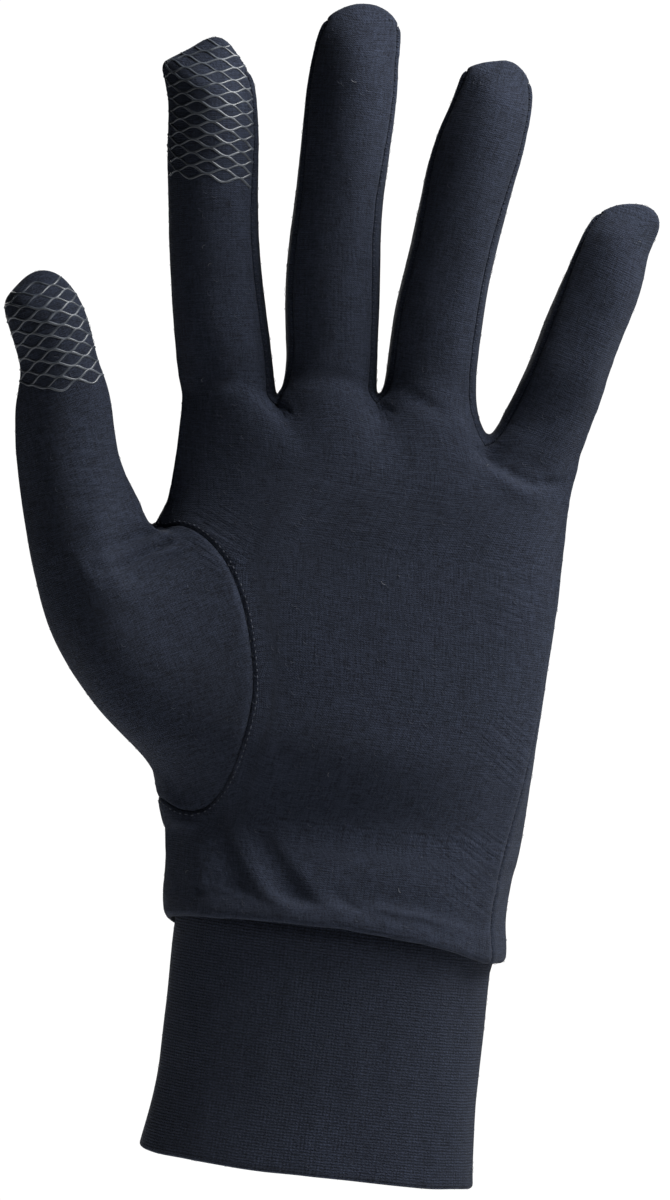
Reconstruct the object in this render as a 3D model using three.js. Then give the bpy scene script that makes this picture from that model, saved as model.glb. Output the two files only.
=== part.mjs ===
// Glove liner of thin knitted jersey, in the form it takes when worn and spread.
// Millimetres, +Z up towards the fingertips, -Y the palm side, thumb towards -X.
// The origin is the centre of the wrist opening, level with the hem of the cuff.

import * as THREE from 'three';

// Driving dimensions, in millimetres and degrees
const fabricWall = 1.2;
const cuffWall = 2.2;
const seamGap = 0.3;
const cuffHeight = 50;
const cuffTuck = 3.5;
const cuffClearance = 0.9;
const hemFlare = 2.0;
const hemFlareHeight = 20;
const wristBreadth = 70.6;
const wristDepth = 41;
const palmOverhang = 2.6;
const palmLength = 118;
const palmDepth = 27;
const webDepth = 17;
const knuckleShift = -3.6;
const crotchDipFront = 2.5;
const crotchDipBack = 1.5;
const gussetWidth = 9.2;
const gussetTipWidth = 2.6;
const sideTurn = 16;
const thumbLength = 92;
const thumbWidth = 20;
const thumbDepth = 18;
const thumbForward = 11;
const thumbLean = -25;
const thumbRootAcross = -42;
const thumbRootUp = 56;

// Silicone net printed on the index and thumb tips
const printThickness = 0.5;
const printClearance = 0.4;
const netLine = 0.9;
const netColumnPitch = 4;
const netRowPitch = 2.85;
const netFlatTop = 1.7;
const netTilt = -7;

// One row per finger: the knuckle row is laid out from the widths and the webs between them,
// and rise is how far the finger's outer crotch stands above the palm length, as a share of it.
const fingers = [
  { name: 'index', length: 77.5, width: 20, depth: 17.8, rootShare: 0.975, webAfter: 2.6, lean: -9.7, bow: 3.0 },
  { name: 'middle', length: 85, width: 20, depth: 17.8, rootShare: 0.97, webAfter: 2.2, lean: -2.0, bow: 3.4 },
  { name: 'ring', length: 78.5, width: 19.5, depth: 17.4, rootShare: 1.1, webAfter: 4.6, lean: 4.5, bow: 3.2 },
  { name: 'little', length: 58.5, width: 17.5, depth: 15.8, rootShare: 1.05, webAfter: 0, lean: 14.2, bow: 2.4 },
];
const crotchRise = [-0.031, 0.0025, 0.027, -0.023, -0.075];

// Sections of each finger: along is a share of its length; offset, width and tilt are shares of its width
const fingerSections = {
  index: [
    { along: 0.07, offset: -0.034, width: 1.04, depth: 1.02, tilt: 0 },
    { along: 0.26, offset: -0.078, width: 1.02, depth: 1.03, tilt: 0 },
    { along: 0.48, offset: -0.088, width: 0.98, depth: 1.0, tilt: 0 },
    { along: 0.7, offset: -0.055, width: 0.985, depth: 0.98, tilt: 0 },
    { along: 0.85, offset: -0.04, width: 0.94, depth: 0.86, tilt: -0.02 },
    { along: 0.925, offset: -0.09, width: 0.93, depth: 0.5, tilt: -0.06 },
  ],
  middle: [
    { along: 0.07, offset: 0.014, width: 1.0, depth: 1.02, tilt: 0 },
    { along: 0.26, offset: -0.046, width: 1.035, depth: 1.03, tilt: 0 },
    { along: 0.48, offset: -0.067, width: 0.975, depth: 1.0, tilt: 0 },
    { along: 0.7, offset: -0.035, width: 0.975, depth: 0.98, tilt: 0 },
    { along: 0.86, offset: -0.017, width: 0.915, depth: 0.86, tilt: 0 },
    { along: 0.95, offset: 0.02, width: 0.8, depth: 0.5, tilt: 0 },
  ],
  ring: [
    { along: 0.07, offset: -0.078, width: 1.04, depth: 1.02, tilt: 0 },
    { along: 0.26, offset: -0.147, width: 1.0, depth: 1.03, tilt: 0 },
    { along: 0.48, offset: -0.136, width: 0.955, depth: 1.0, tilt: 0 },
    { along: 0.7, offset: -0.103, width: 0.99, depth: 0.98, tilt: 0 },
    { along: 0.86, offset: -0.035, width: 0.88, depth: 0.84, tilt: 0 },
    { along: 0.95, offset: -0.034, width: 0.74, depth: 0.5, tilt: 0 },
  ],
  little: [
    { along: 0.09, offset: 0.03, width: 1.09, depth: 1.02, tilt: 0 },
    { along: 0.28, offset: 0.051, width: 1.02, depth: 1.03, tilt: 0 },
    { along: 0.49, offset: 0.039, width: 0.99, depth: 1.0, tilt: 0 },
    { along: 0.7, offset: 0.057, width: 0.955, depth: 0.98, tilt: 0 },
    { along: 0.85, offset: 0.04, width: 0.845, depth: 0.84, tilt: 0 },
    { along: 0.94, offset: 0.086, width: 0.78, depth: 0.52, tilt: 0.04 },
  ],
};

// The short seam across each fingertip: two points, across is a share of the finger's width
const fingerTips = {
  index: [{ along: 0.985, across: -0.27 }, { along: 1.015, across: 0.1 }],
  middle: [{ along: 0.998, across: -0.12 }, { along: 1.0, across: 0.2 }],
  ring: [{ along: 0.995, across: -0.13 }, { along: 1.0, across: 0.13 }],
  little: [{ along: 0.995, across: -0.08 }, { along: 1.02, across: 0.3 }],
};

// Sections of the palm from the cuff seam up: up is a share of the palm length, left and right are how far each
// side has gone from the wrist to the knuckles, depth is how far from the wrist's depth to the palm's, seamTurn is
// how far the outer seam is turned to the front, and seamAcross is where the thumb seam's column lies.
const palmSections = [
  { up: -0.008, left: 0, right: 0, overhang: 0, depth: 0, boxy: 2.2, seamTurn: 24, seamAcross: -0.66 },
  { up: 0.007, left: 0, right: 0, overhang: 1, depth: 0, boxy: 2.2, seamTurn: 24, seamAcross: -0.66 },
  { up: 0.06, left: 0.27, right: 0.36, overhang: 0, depth: -0.12, boxy: 2.2, seamTurn: 25, seamAcross: -0.66 },
  { up: 0.115, left: 0.28, right: 0.33, overhang: 0, depth: 0, boxy: 2.25, seamTurn: 25, seamAcross: -0.66 },
  { up: 0.17, left: 0.36, right: 0.42, overhang: 0, depth: 0.14, boxy: 2.3, seamTurn: 25, seamAcross: -0.67 },
  { up: 0.229, left: 0.58, right: 0.56, overhang: 0, depth: 0.32, boxy: 2.4, seamTurn: 24, seamAcross: -0.67 },
  { up: 0.475, left: 0.86, right: 0.82, overhang: 0, depth: 0.76, boxy: 2.6, seamTurn: 14, seamAcross: -0.5 },
  { up: 0.729, left: 1.145, right: 0.86, overhang: 0, depth: 1.0, boxy: 2.8, seamTurn: 4, seamAcross: -0.61 },
  { up: 0.86, left: 0.93, right: 0.86, overhang: 0, depth: 1.12, boxy: 2.9, seamTurn: 0, seamAcross: -0.5 },
];
const holeBottomRow = 5;
const holeTopRow = 7;
const knuckleDepthShare = 1.36;
const knuckleBoxy = 2.9;

// How far the thumb seam's columns leave the straight rows: across is on the section, rise a share of palm length
const thumbSeam = {
  5: [{ across: -0.94, rise: -0.015 }, { across: -0.825, rise: -0.007 }, { across: -0.67, rise: 0.047 }],
  6: [{ across: -0.94, rise: 0 }, { across: -0.75, rise: 0 }, { across: -0.5, rise: -0.01 }],
  7: [{ across: -0.9, rise: 0.004 }, { across: -0.74, rise: -0.01 }, { across: -0.61, rise: -0.063 }],
};
const seamRiseBeside = 0.4;

// Sections of the thumb: the inner and outer points are shares of its length and width, forward a share of
// thumbForward and depth a share of thumbDepth
const thumbSections = [
  { innerAlong: 0.383, innerAcross: 0.19, outerAlong: -0.107, outerAcross: -0.78, forward: 0.4, depth: 1.62 },
  { innerAlong: 0.48, innerAcross: 0.13, outerAlong: 0.154, outerAcross: -1.15, forward: 0.5, depth: 1.36 },
  { innerAlong: 0.574, innerAcross: 0.17, outerAlong: 0.445, outerAcross: -1.04, forward: 0.66, depth: 1.14 },
  { innerAlong: 0.671, innerAcross: 0.25, outerAlong: 0.682, outerAcross: -0.8, forward: 0.84, depth: 1.02 },
  { innerAlong: 0.758, innerAcross: 0.25, outerAlong: 0.79, outerAcross: -0.58, forward: 0.94, depth: 0.96 },
  { innerAlong: 0.861, innerAcross: 0.28, outerAlong: 0.915, outerAcross: -0.56, forward: 1.0, depth: 0.82 },
  { innerAlong: 0.93, innerAcross: 0.22, outerAlong: 0.965, outerAcross: -0.42, forward: 1.0, depth: 0.48 },
];
const thumbTips = [{ along: 0.97, across: 0.12 }, { along: 0.99, across: -0.02 }, { along: 0.99, across: -0.2 }];

// Folds pressed into the fabric: ends are shares of the half knuckle breadth and the palm length,
// depth and width are shares of the palm depth
const folds = [
  { fromAcross: -0.68, fromUp: 0.24, toAcross: -0.39, toUp: 0.06, depth: 0.05, width: 0.16 },
  { fromAcross: -0.5, fromUp: 0.23, toAcross: -0.03, toUp: 0.04, depth: 0.05, width: 0.16 },
  { fromAcross: -0.4, fromUp: 0.24, toAcross: 0.8, toUp: 0.22, depth: 0.03, width: 0.3 },
  { fromAcross: 0.5, fromUp: 0.95, toAcross: 0.89, toUp: 0.91, depth: 0.05, width: 0.14 },
  { fromAcross: -1.04, fromUp: 0.73, toAcross: -1.34, toUp: 0.63, depth: 0.06, width: 0.16 },
];

const { cos, sin, tan, abs, sign, exp, max, min, PI, acos, asin, atan2 } = Math;
const mix = (a, b, share) => a + (b - a) * share;
const radians = (degrees) => (degrees * PI) / 180;

// Widths across the knuckle row
const lastFinger = fingers.length - 1;
const webBefore = (i) => (i > 0 ? fingers[i - 1].webAfter : 0);
const rootSpans = fingers.map((f, i) => f.width * f.rootShare + (f.webAfter + webBefore(i)) / 2);
const knuckleBreadth = rootSpans.reduce((total, span) => total + span, 0);
const knuckleLeft = knuckleShift - knuckleBreadth / 2;
const knuckleRight = knuckleShift + knuckleBreadth / 2;
const rootEdges = [knuckleLeft];
rootSpans.forEach((span) => rootEdges.push(rootEdges[rootEdges.length - 1] + span));
const rootEdgeUp = crotchRise.map((rise) => cuffHeight + palmLength * (1 + rise));
const frontColumns = 3 * fingers.length + 1;

// A rounded section across the hand at one height: turn 0 is the little-finger side, -90 the front
function sectionAt(left, right, halfDepth, boxy) {
  return { middle: (left + right) / 2, half: (right - left) / 2, halfDepth, boxy };
}

function sectionPoint(section, turn) {
  const c = cos(radians(turn));
  const s = sin(radians(turn));
  const x = section.middle + section.half * sign(c) * abs(c) ** (2 / section.boxy);
  return new THREE.Vector2(x, section.halfDepth * s);
}

function turnOf(section, across) {
  const share = min(1, abs(across)) ** (section.boxy / 2);
  const turn = (acos(share) * 180) / PI;
  return across < 0 ? 180 - turn : turn;
}

function palmSection(row) {
  const wristHalf = wristBreadth / 2;
  const ease = cuffClearance + row.overhang * (palmOverhang - cuffClearance);
  const isLip = row.left === 0 && row.right === 0;
  const grow = isLip ? ease : 0;
  const left = -mix(wristHalf, -knuckleLeft, row.left) - grow;
  const right = mix(wristHalf, knuckleRight, row.right) + grow;
  return sectionAt(left, right, mix(wristDepth / 2, palmDepth / 2, row.depth) + grow, row.boxy);
}

const knuckleHalfDepth = mix(wristDepth / 2, palmDepth / 2, knuckleDepthShare);
const knuckleSection = sectionAt(knuckleLeft, knuckleRight, knuckleHalfDepth, knuckleBoxy);

function knuckleAcross(column) {
  const side = cos(radians(sideTurn)) ** (2 / knuckleBoxy);
  const finger = min(Math.floor(column / 3), lastFinger);
  const share = (column - 3 * finger) / 3;
  const x = mix(rootEdges[finger], rootEdges[finger + 1], share);
  const across = (x - knuckleSection.middle) / knuckleSection.half;
  return max(-side, min(side, across));
}

// The cage: points that the finished surface passes through once it is solved, and four-sided faces
const cagePoints = [];
const cageFaces = [];

function addPoint(x, y, z) {
  cagePoints.push(new THREE.Vector3(x, y, z));
  return cagePoints.length - 1;
}

function addFace(piece, a, b, c, d) {
  cageFaces.push({ piece, corners: [a, b, c, d] });
}

// Front columns run from the thumb side to the little-finger side, back columns too
function palmRow(row, index) {
  const section = palmSection(row);
  const up = cuffHeight + palmLength * row.up;
  const rightTurn = -sideTurn - 0.8 * row.seamTurn;
  const rightAcross = cos(radians(rightTurn)) ** (2 / section.boxy);
  const leftAcross = -(cos(radians(sideTurn)) ** (2 / section.boxy));
  const points = { front: [], back: [] };
  const seam = thumbSeam[index];
  for (let column = 0; column < frontColumns; column += 1) {
    const fromSeam = knuckleAcross(column) - knuckleAcross(2);
    const share = fromSeam / (knuckleAcross(frontColumns - 1) - knuckleAcross(2));
    let across = mix(row.seamAcross, rightAcross, share);
    let rise = 0;
    if (column < 3) {
      across = seam ? seam[column].across : mix(leftAcross, row.seamAcross, column / 2);
      rise = seam ? seam[column].rise : 0;
    } else if (column === 3 && seam) {
      rise = seam[2].rise * seamRiseBeside;
    }
    const front = sectionPoint(section, -turnOf(section, across));
    points.front.push(addPoint(front.x, front.y, up + rise * palmLength));
    const even = mix(-180 + sideTurn, -sideTurn + 0.6 * row.seamTurn, column / (frontColumns - 1));
    const byKnuckle = -turnOf(section, knuckleAcross(column));
    const back = sectionPoint(section, -mix(even, byKnuckle, max(0, row.up) * (1 - row.seamTurn / 30)));
    points.back.push(addPoint(back.x, back.y, up));
  }
  const right = sectionPoint(section, -row.seamTurn);
  const left = sectionPoint(section, 180);
  points.right = addPoint(right.x, right.y, up);
  points.left = addPoint(left.x, left.y, up);
  return points;
}

function knuckleRow() {
  const points = { front: [], back: [], saddles: [] };
  for (let column = 0; column < frontColumns; column += 1) {
    const finger = min(Math.floor(column / 3), lastFinger);
    const share = (column - 3 * finger) / 3;
    const up = mix(rootEdgeUp[finger], rootEdgeUp[finger + 1], share);
    const isCrotch = share === 0 && column > 0;
    const place = sectionPoint(knuckleSection, -turnOf(knuckleSection, knuckleAcross(column)));
    const halfDepth = isCrotch && column < frontColumns - 1 ? webDepth / 2 : -place.y;
    const frontDip = isCrotch ? crotchDipFront : 0;
    const backDip = isCrotch ? crotchDipBack : 0;
    points.front.push(addPoint(place.x, -halfDepth, up - frontDip));
    points.back.push(addPoint(place.x, halfDepth, up - backDip));
  }
  points.right = addPoint(knuckleRight, 0, rootEdgeUp[fingers.length]);
  points.left = addPoint(knuckleLeft, 0, rootEdgeUp[0]);
  for (let crotch = 1; crotch < fingers.length; crotch += 1) {
    points.saddles[crotch] = addPoint(rootEdges[crotch], 0, rootEdgeUp[crotch]);
  }
  return points;
}

// The loop of a row as seen from above, thumb side first, then the front, the far side and the back
function loopOf(row) {
  return [row.left, ...row.front, row.right, ...[...row.back].reverse()];
}

const rows = palmSections.map((row, index) => palmRow(row, index));
const knuckles = knuckleRow();
const palmLoops = [...rows, knuckles].map(loopOf);
const sidePiece = (step) => (step <= frontColumns ? 'palm_panel' : 'back_panel');
const isThumbHole = (loopIndex, step) =>
  loopIndex >= holeBottomRow && loopIndex < holeTopRow && (step < 3 || step === palmLoops[0].length - 1);

for (let i = 0; i + 1 < palmLoops.length; i += 1) {
  const low = palmLoops[i];
  const high = palmLoops[i + 1];
  for (let step = 0; step < low.length; step += 1) {
    const next = (step + 1) % low.length;
    if (!isThumbHole(i, step)) {
      addFace(sidePiece(step), low[step], low[next], high[next], high[step]);
    }
  }
}

// Joins a row of rings of the same number of points; pieceOf says which panel each strip belongs to
function joinRings(rings, pieceOf) {
  for (let i = 0; i + 1 < rings.length; i += 1) {
    for (let step = 0; step < rings[i].length; step += 1) {
      const next = (step + 1) % rings[i].length;
      addFace(pieceOf(step), rings[i][step], rings[i][next], rings[i + 1][next], rings[i + 1][step]);
    }
  }
}

// Axis frame of a finger: a place is given by its share along, its distance across and its distance to the back
function fingerFrame(finger, index) {
  const lean = radians(finger.lean);
  const root = new THREE.Vector3(
    (rootEdges[index] + rootEdges[index + 1]) / 2,
    0,
    (rootEdgeUp[index] + rootEdgeUp[index + 1]) / 2,
  );
  const along = new THREE.Vector3(sin(lean), 0, cos(lean));
  const across = new THREE.Vector3(cos(lean), 0, -sin(lean));
  return (share, sideways, backwards, lift = 0) =>
    root
      .clone()
      .addScaledVector(along, share * finger.length + lift)
      .addScaledVector(across, sideways)
      .add(new THREE.Vector3(0, backwards - finger.bow * sin(PI * min(1, share * 0.95)), 0));
}

const gussetNames = ['', 'fourchette_index_middle', 'fourchette_middle_ring', 'fourchette_ring_little'];

function addFinger(finger, index) {
  const at = fingerFrame(finger, index);
  const first = 3 * index;
  const leftSide = index === 0 ? knuckles.left : knuckles.saddles[index];
  const rightSide = index === lastFinger ? knuckles.right : knuckles.saddles[index + 1];
  const front = knuckles.front.slice(first, first + 4);
  const back = knuckles.back.slice(first, first + 4).reverse();
  const rings = [[leftSide, ...front, rightSide, ...back]];
  fingerSections[finger.name].forEach((section) => {
    const halfWidth = (section.width * finger.width) / 2;
    const halfDepth = (section.depth * finger.depth) / 2;
    const gusset = mix(gussetWidth, gussetTipWidth, max(0, (section.along - 0.5) / 0.45)) / 2;
    const edge = (asin(min(0.75, gusset / halfDepth)) * 180) / PI;
    const turns = [180, 180 + edge, 248, 292, 360 - edge, 0, edge, 68, 112, 180 - edge];
    rings.push(
      turns.map((turn) => {
        const c = cos(radians(turn));
        const place = at(
          section.along,
          section.offset * finger.width + halfWidth * c,
          halfDepth * sin(radians(turn)),
          section.tilt * finger.width * c,
        );
        return addPoint(...place.toArray());
      }),
    );
  });
  const leftPieces = index === 0 ? ['palm_panel', 'back_panel'] : [gussetNames[index], gussetNames[index]];
  const rightPieces =
    index === lastFinger ? ['palm_panel', 'back_panel'] : [gussetNames[index + 1], gussetNames[index + 1]];
  const strips = [leftPieces[0], 'palm_panel', 'palm_panel', 'palm_panel', rightPieces[0]];
  strips.push(rightPieces[1], 'back_panel', 'back_panel', 'back_panel', leftPieces[1]);
  joinRings(rings, (step) => strips[step]);
  const tip = rings[rings.length - 1];
  const mids = fingerTips[finger.name].map((point) =>
    addPoint(...at(point.along, point.across * finger.width, 0).toArray()),
  );
  addFace('palm_panel', tip[0], tip[1], tip[2], mids[0]);
  addFace('palm_panel', mids[0], tip[2], tip[3], mids[1]);
  addFace('palm_panel', mids[1], tip[3], tip[4], tip[5]);
  addFace('back_panel', tip[5], tip[6], tip[7], mids[1]);
  addFace('back_panel', mids[1], tip[7], tip[8], mids[0]);
  addFace('back_panel', mids[0], tip[8], tip[9], tip[0]);
}

fingers.forEach(addFinger);

// Axis frame of the thumb
const thumbRoot = new THREE.Vector3(thumbRootAcross, 0, cuffHeight + thumbRootUp);
const thumbAlong = new THREE.Vector3(sin(radians(thumbLean)), 0, cos(radians(thumbLean)));
const thumbAcross = new THREE.Vector3(cos(radians(thumbLean)), 0, -sin(radians(thumbLean)));
const thumbPlace = (along, across) =>
  thumbRoot
    .clone()
    .addScaledVector(thumbAlong, along * thumbLength)
    .addScaledVector(thumbAcross, across * thumbWidth);

function addThumb() {
  const low = rows[holeBottomRow];
  const mid = rows[holeBottomRow + 1];
  const high = rows[holeTopRow];
  const hole = [high.left, high.back[0], mid.back[0], low.back[0], low.left, low.front[0]];
  hole.push(low.front[1], low.front[2], mid.front[2], high.front[2], high.front[1], high.front[0]);
  const rings = [hole];
  thumbSections.forEach((section) => {
    const inner = thumbPlace(section.innerAlong, section.innerAcross);
    const outer = thumbPlace(section.outerAlong, section.outerAcross);
    const centre = inner.clone().add(outer).multiplyScalar(0.5);
    const reach = inner.clone().sub(outer).multiplyScalar(0.5);
    rings.push(
      hole.map((_, step) => {
        const turn = radians((360 * step) / hole.length);
        const place = centre.clone().addScaledVector(reach, cos(turn));
        const y = (section.depth * thumbDepth * sin(turn)) / 2 - section.forward * thumbForward;
        return addPoint(place.x, y, place.z);
      }),
    );
  });
  joinRings(rings, () => 'thumb');
  const tip = rings[rings.length - 1];
  const mids = thumbTips.map((point) => {
    const place = thumbPlace(point.along, point.across);
    return addPoint(place.x, -thumbForward, place.z);
  });
  addFace('thumb', tip[0], tip[1], tip[2], mids[0]);
  addFace('thumb', mids[0], tip[2], tip[3], mids[1]);
  addFace('thumb', mids[1], tip[3], tip[4], mids[2]);
  addFace('thumb', mids[2], tip[4], tip[5], tip[6]);
  addFace('thumb', tip[6], tip[7], tip[8], mids[2]);
  addFace('thumb', mids[2], tip[8], tip[9], mids[1]);
  addFace('thumb', mids[1], tip[9], tip[10], mids[0]);
  addFace('thumb', mids[0], tip[10], tip[11], tip[0]);
}

addThumb();

// Smooth surface of the cage: neighbours of each point, and where the point ends up on the smooth surface
function surroundings(count, quads) {
  const around = Array.from({ length: count }, () => ({ edges: new Map(), diagonals: [] }));
  quads.forEach((corners) => {
    for (let k = 0; k < 4; k += 1) {
      const here = around[corners[k]];
      const next = corners[(k + 1) % 4];
      const previous = corners[(k + 3) % 4];
      here.edges.set(next, (here.edges.get(next) || 0) + 1);
      here.edges.set(previous, (here.edges.get(previous) || 0) + 1);
      here.diagonals.push(corners[(k + 2) % 4]);
    }
  });
  return around;
}

function smoothPlaces(points, around) {
  return points.map((point, i) => {
    const { edges, diagonals } = around[i];
    const rim = [...edges.keys()].filter((j) => edges.get(j) === 1);
    const place = new THREE.Vector3();
    if (rim.length > 0) {
      place.addScaledVector(point, 4);
      rim.forEach((j) => place.add(points[j]));
      return place.divideScalar(6);
    }
    const n = edges.size;
    place.addScaledVector(point, n * n);
    [...edges.keys()].forEach((j) => place.addScaledVector(points[j], 4));
    diagonals.forEach((j) => place.add(points[j]));
    return place.divideScalar(n * (n + 5));
  });
}

const quads = cageFaces.map((face) => face.corners);
const targets = cagePoints.map((point) => point.clone());
const cageAround = surroundings(cagePoints.length, quads);
const solveRounds = 12;
for (let round = 0; round < solveRounds; round += 1) {
  const reached = smoothPlaces(cagePoints, cageAround);
  cagePoints.forEach((point, i) => point.add(targets[i]).sub(reached[i]));
}

// One round of subdivision: cage points keep their numbers, then come the edge points and the face points
function subdivide(points, faces, around) {
  const next = [];
  const facePoints = faces.map(({ corners }) =>
    corners.reduce((sum, j) => sum.add(points[j]), new THREE.Vector3()).divideScalar(4),
  );
  const edgeFaces = new Map();
  const edgeKey = (a, b) => (a < b ? `${a}_${b}` : `${b}_${a}`);
  faces.forEach(({ corners }, i) => {
    corners.forEach((a, k) => {
      const key = edgeKey(a, corners[(k + 1) % 4]);
      edgeFaces.set(key, [...(edgeFaces.get(key) || []), i]);
    });
  });
  const faceSums = points.map(() => ({ sum: new THREE.Vector3(), count: 0 }));
  faces.forEach(({ corners }, i) => {
    corners.forEach((j) => {
      faceSums[j].sum.add(facePoints[i]);
      faceSums[j].count += 1;
    });
  });
  points.forEach((point, i) => {
    const { edges } = around[i];
    const rim = [...edges.keys()].filter((j) => edges.get(j) === 1);
    const moved = new THREE.Vector3();
    if (rim.length > 0) {
      moved.addScaledVector(point, 6);
      rim.forEach((j) => moved.add(points[j]));
      next.push(moved.divideScalar(8));
      return;
    }
    const n = edges.size;
    const edgeMean = new THREE.Vector3();
    edges.forEach((_, j) => edgeMean.addScaledVector(points[j].clone().add(point), 0.5 / n));
    moved.addScaledVector(faceSums[i].sum, 1 / faceSums[i].count).addScaledVector(edgeMean, 2);
    next.push(moved.addScaledVector(point, n - 3).divideScalar(n));
  });
  const edgeNumbers = new Map();
  edgeFaces.forEach((touching, key) => {
    const [a, b] = key.split('_').map(Number);
    const sum = points[a].clone().add(points[b]);
    if (touching.length === 2) {
      touching.forEach((i) => sum.add(facePoints[i]));
    }
    edgeNumbers.set(key, next.length);
    next.push(sum.divideScalar(touching.length === 2 ? 4 : 2));
  });
  const firstFacePoint = next.length;
  next.push(...facePoints);
  const fineFaces = [];
  faces.forEach(({ piece, corners }, i) => {
    const mids = corners.map((a, k) => edgeNumbers.get(edgeKey(a, corners[(k + 1) % 4])));
    corners.forEach((corner, k) => {
      fineFaces.push({ piece, parent: i, corners: [corner, mids[k], firstFacePoint + i, mids[(k + 3) % 4]] });
    });
  });
  const midOf = (a, b) => edgeNumbers.get(edgeKey(a, b));
  return { points: next, faces: fineFaces, midOf };
}

function pointNormals(points, faces) {
  const normals = points.map(() => new THREE.Vector3());
  faces.forEach(({ corners }) => {
    const [a, b, c, d] = corners.map((j) => points[j]);
    const normal = c.clone().sub(a).cross(d.clone().sub(b));
    corners.forEach((j) => normals[j].add(normal));
  });
  return normals.map((normal) => normal.normalize());
}

// How deep the folds press the fabric in at one place on the palm side
function foldDepth(point) {
  let depth = 0;
  folds.forEach((fold) => {
    const half = knuckleBreadth / 2;
    const a = new THREE.Vector2(knuckleShift + fold.fromAcross * half, cuffHeight + fold.fromUp * palmLength);
    const b = new THREE.Vector2(knuckleShift + fold.toAcross * half, cuffHeight + fold.toUp * palmLength);
    const here = new THREE.Vector2(point.x, point.z).sub(a);
    const run = b.sub(a);
    const share = max(0, min(1, here.dot(run) / run.lengthSq()));
    const distance = here.distanceTo(run.clone().multiplyScalar(share));
    const fade = 1 - abs(2 * share - 1) ** 3;
    depth += fold.depth * palmDepth * fade * exp(-((distance / (fold.width * palmDepth)) ** 2));
  });
  return depth;
}

const fine = subdivide(cagePoints, cageFaces, cageAround);
const fineQuads = fine.faces.map((face) => face.corners);
const skin = smoothPlaces(fine.points, surroundings(fine.points.length, fineQuads));
const smoothNormals = pointNormals(skin, fine.faces);
skin.forEach((point, i) => {
  if (smoothNormals[i].y < 0) {
    point.addScaledVector(smoothNormals[i], foldDepth(point) * smoothNormals[i].y);
  }
});
const skinNormals = pointNormals(skin, fine.faces);
const lipTop = cuffHeight + palmLength * mix(palmSections[0].up, palmSections[1].up, 0.3);

// Every directed edge of the skin, with the face on its left
const fineFaceOf = new Map();
fine.faces.forEach((face) => {
  face.corners.forEach((a, k) => fineFaceOf.set(`${a}>${face.corners[(k + 1) % 4]}`, face));
});
const pieceAt = (from, to) => fineFaceOf.get(`${from}>${to}`)?.piece;

// Cage faces round a crotch, where six seams and folds meet, keep the fine faces on their inner side too
const isTight = (face) => face.corners.some((j) => cageAround[j].edges.size > 5);

// Where the panel's edge points go: half a seam gap back from the seam, square to both edges that meet there
function seamShifts(faces, piece) {
  const inward = new Map();
  faces.forEach(({ corners }) => {
    corners.forEach((a, k) => {
      const b = corners[(k + 1) % 4];
      const other = pieceAt(b, a);
      if (other === undefined || other === piece) {
        return;
      }
      const run = skin[b].clone().sub(skin[a]);
      [a, b].forEach((j) => {
        const square = skinNormals[j].clone().cross(run).normalize();
        inward.set(j, [...(inward.get(j) || []), square]);
      });
    });
  });
  const shifts = new Map();
  inward.forEach((squares, j) => {
    const sum = squares.reduce((total, square) => total.add(square), new THREE.Vector3());
    const spread = squares.length > 1 ? max(0.25, 1 + squares[0].dot(squares[1])) : 1;
    shifts.set(j, sum.multiplyScalar(seamGap / 2 / spread));
  });
  return shifts;
}

// A closed solid from triangles of numbered places
function solidFrom(places, triangles) {
  const used = [...new Set(triangles.flat())];
  const numbers = new Map(used.map((key, i) => [key, i]));
  const geometry = new THREE.BufferGeometry();
  const coordinates = used.flatMap((key) => places.get(key).toArray());
  geometry.setAttribute('position', new THREE.Float32BufferAttribute(coordinates, 3));
  geometry.setIndex(triangles.flat().map((key) => numbers.get(key)));
  geometry.computeVertexNormals();
  return geometry;
}

// The rim along one edge; both panels of a seam split it the same way, so their rims stay parallel
function rimTriangles(from, to) {
  const [a, b, c, d] = [`out${to}`, `out${from}`, `in${from}`, `in${to}`];
  return from < to ? [[a, b, c], [a, c, d]] : [[a, b, d], [b, c, d]];
}

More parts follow.
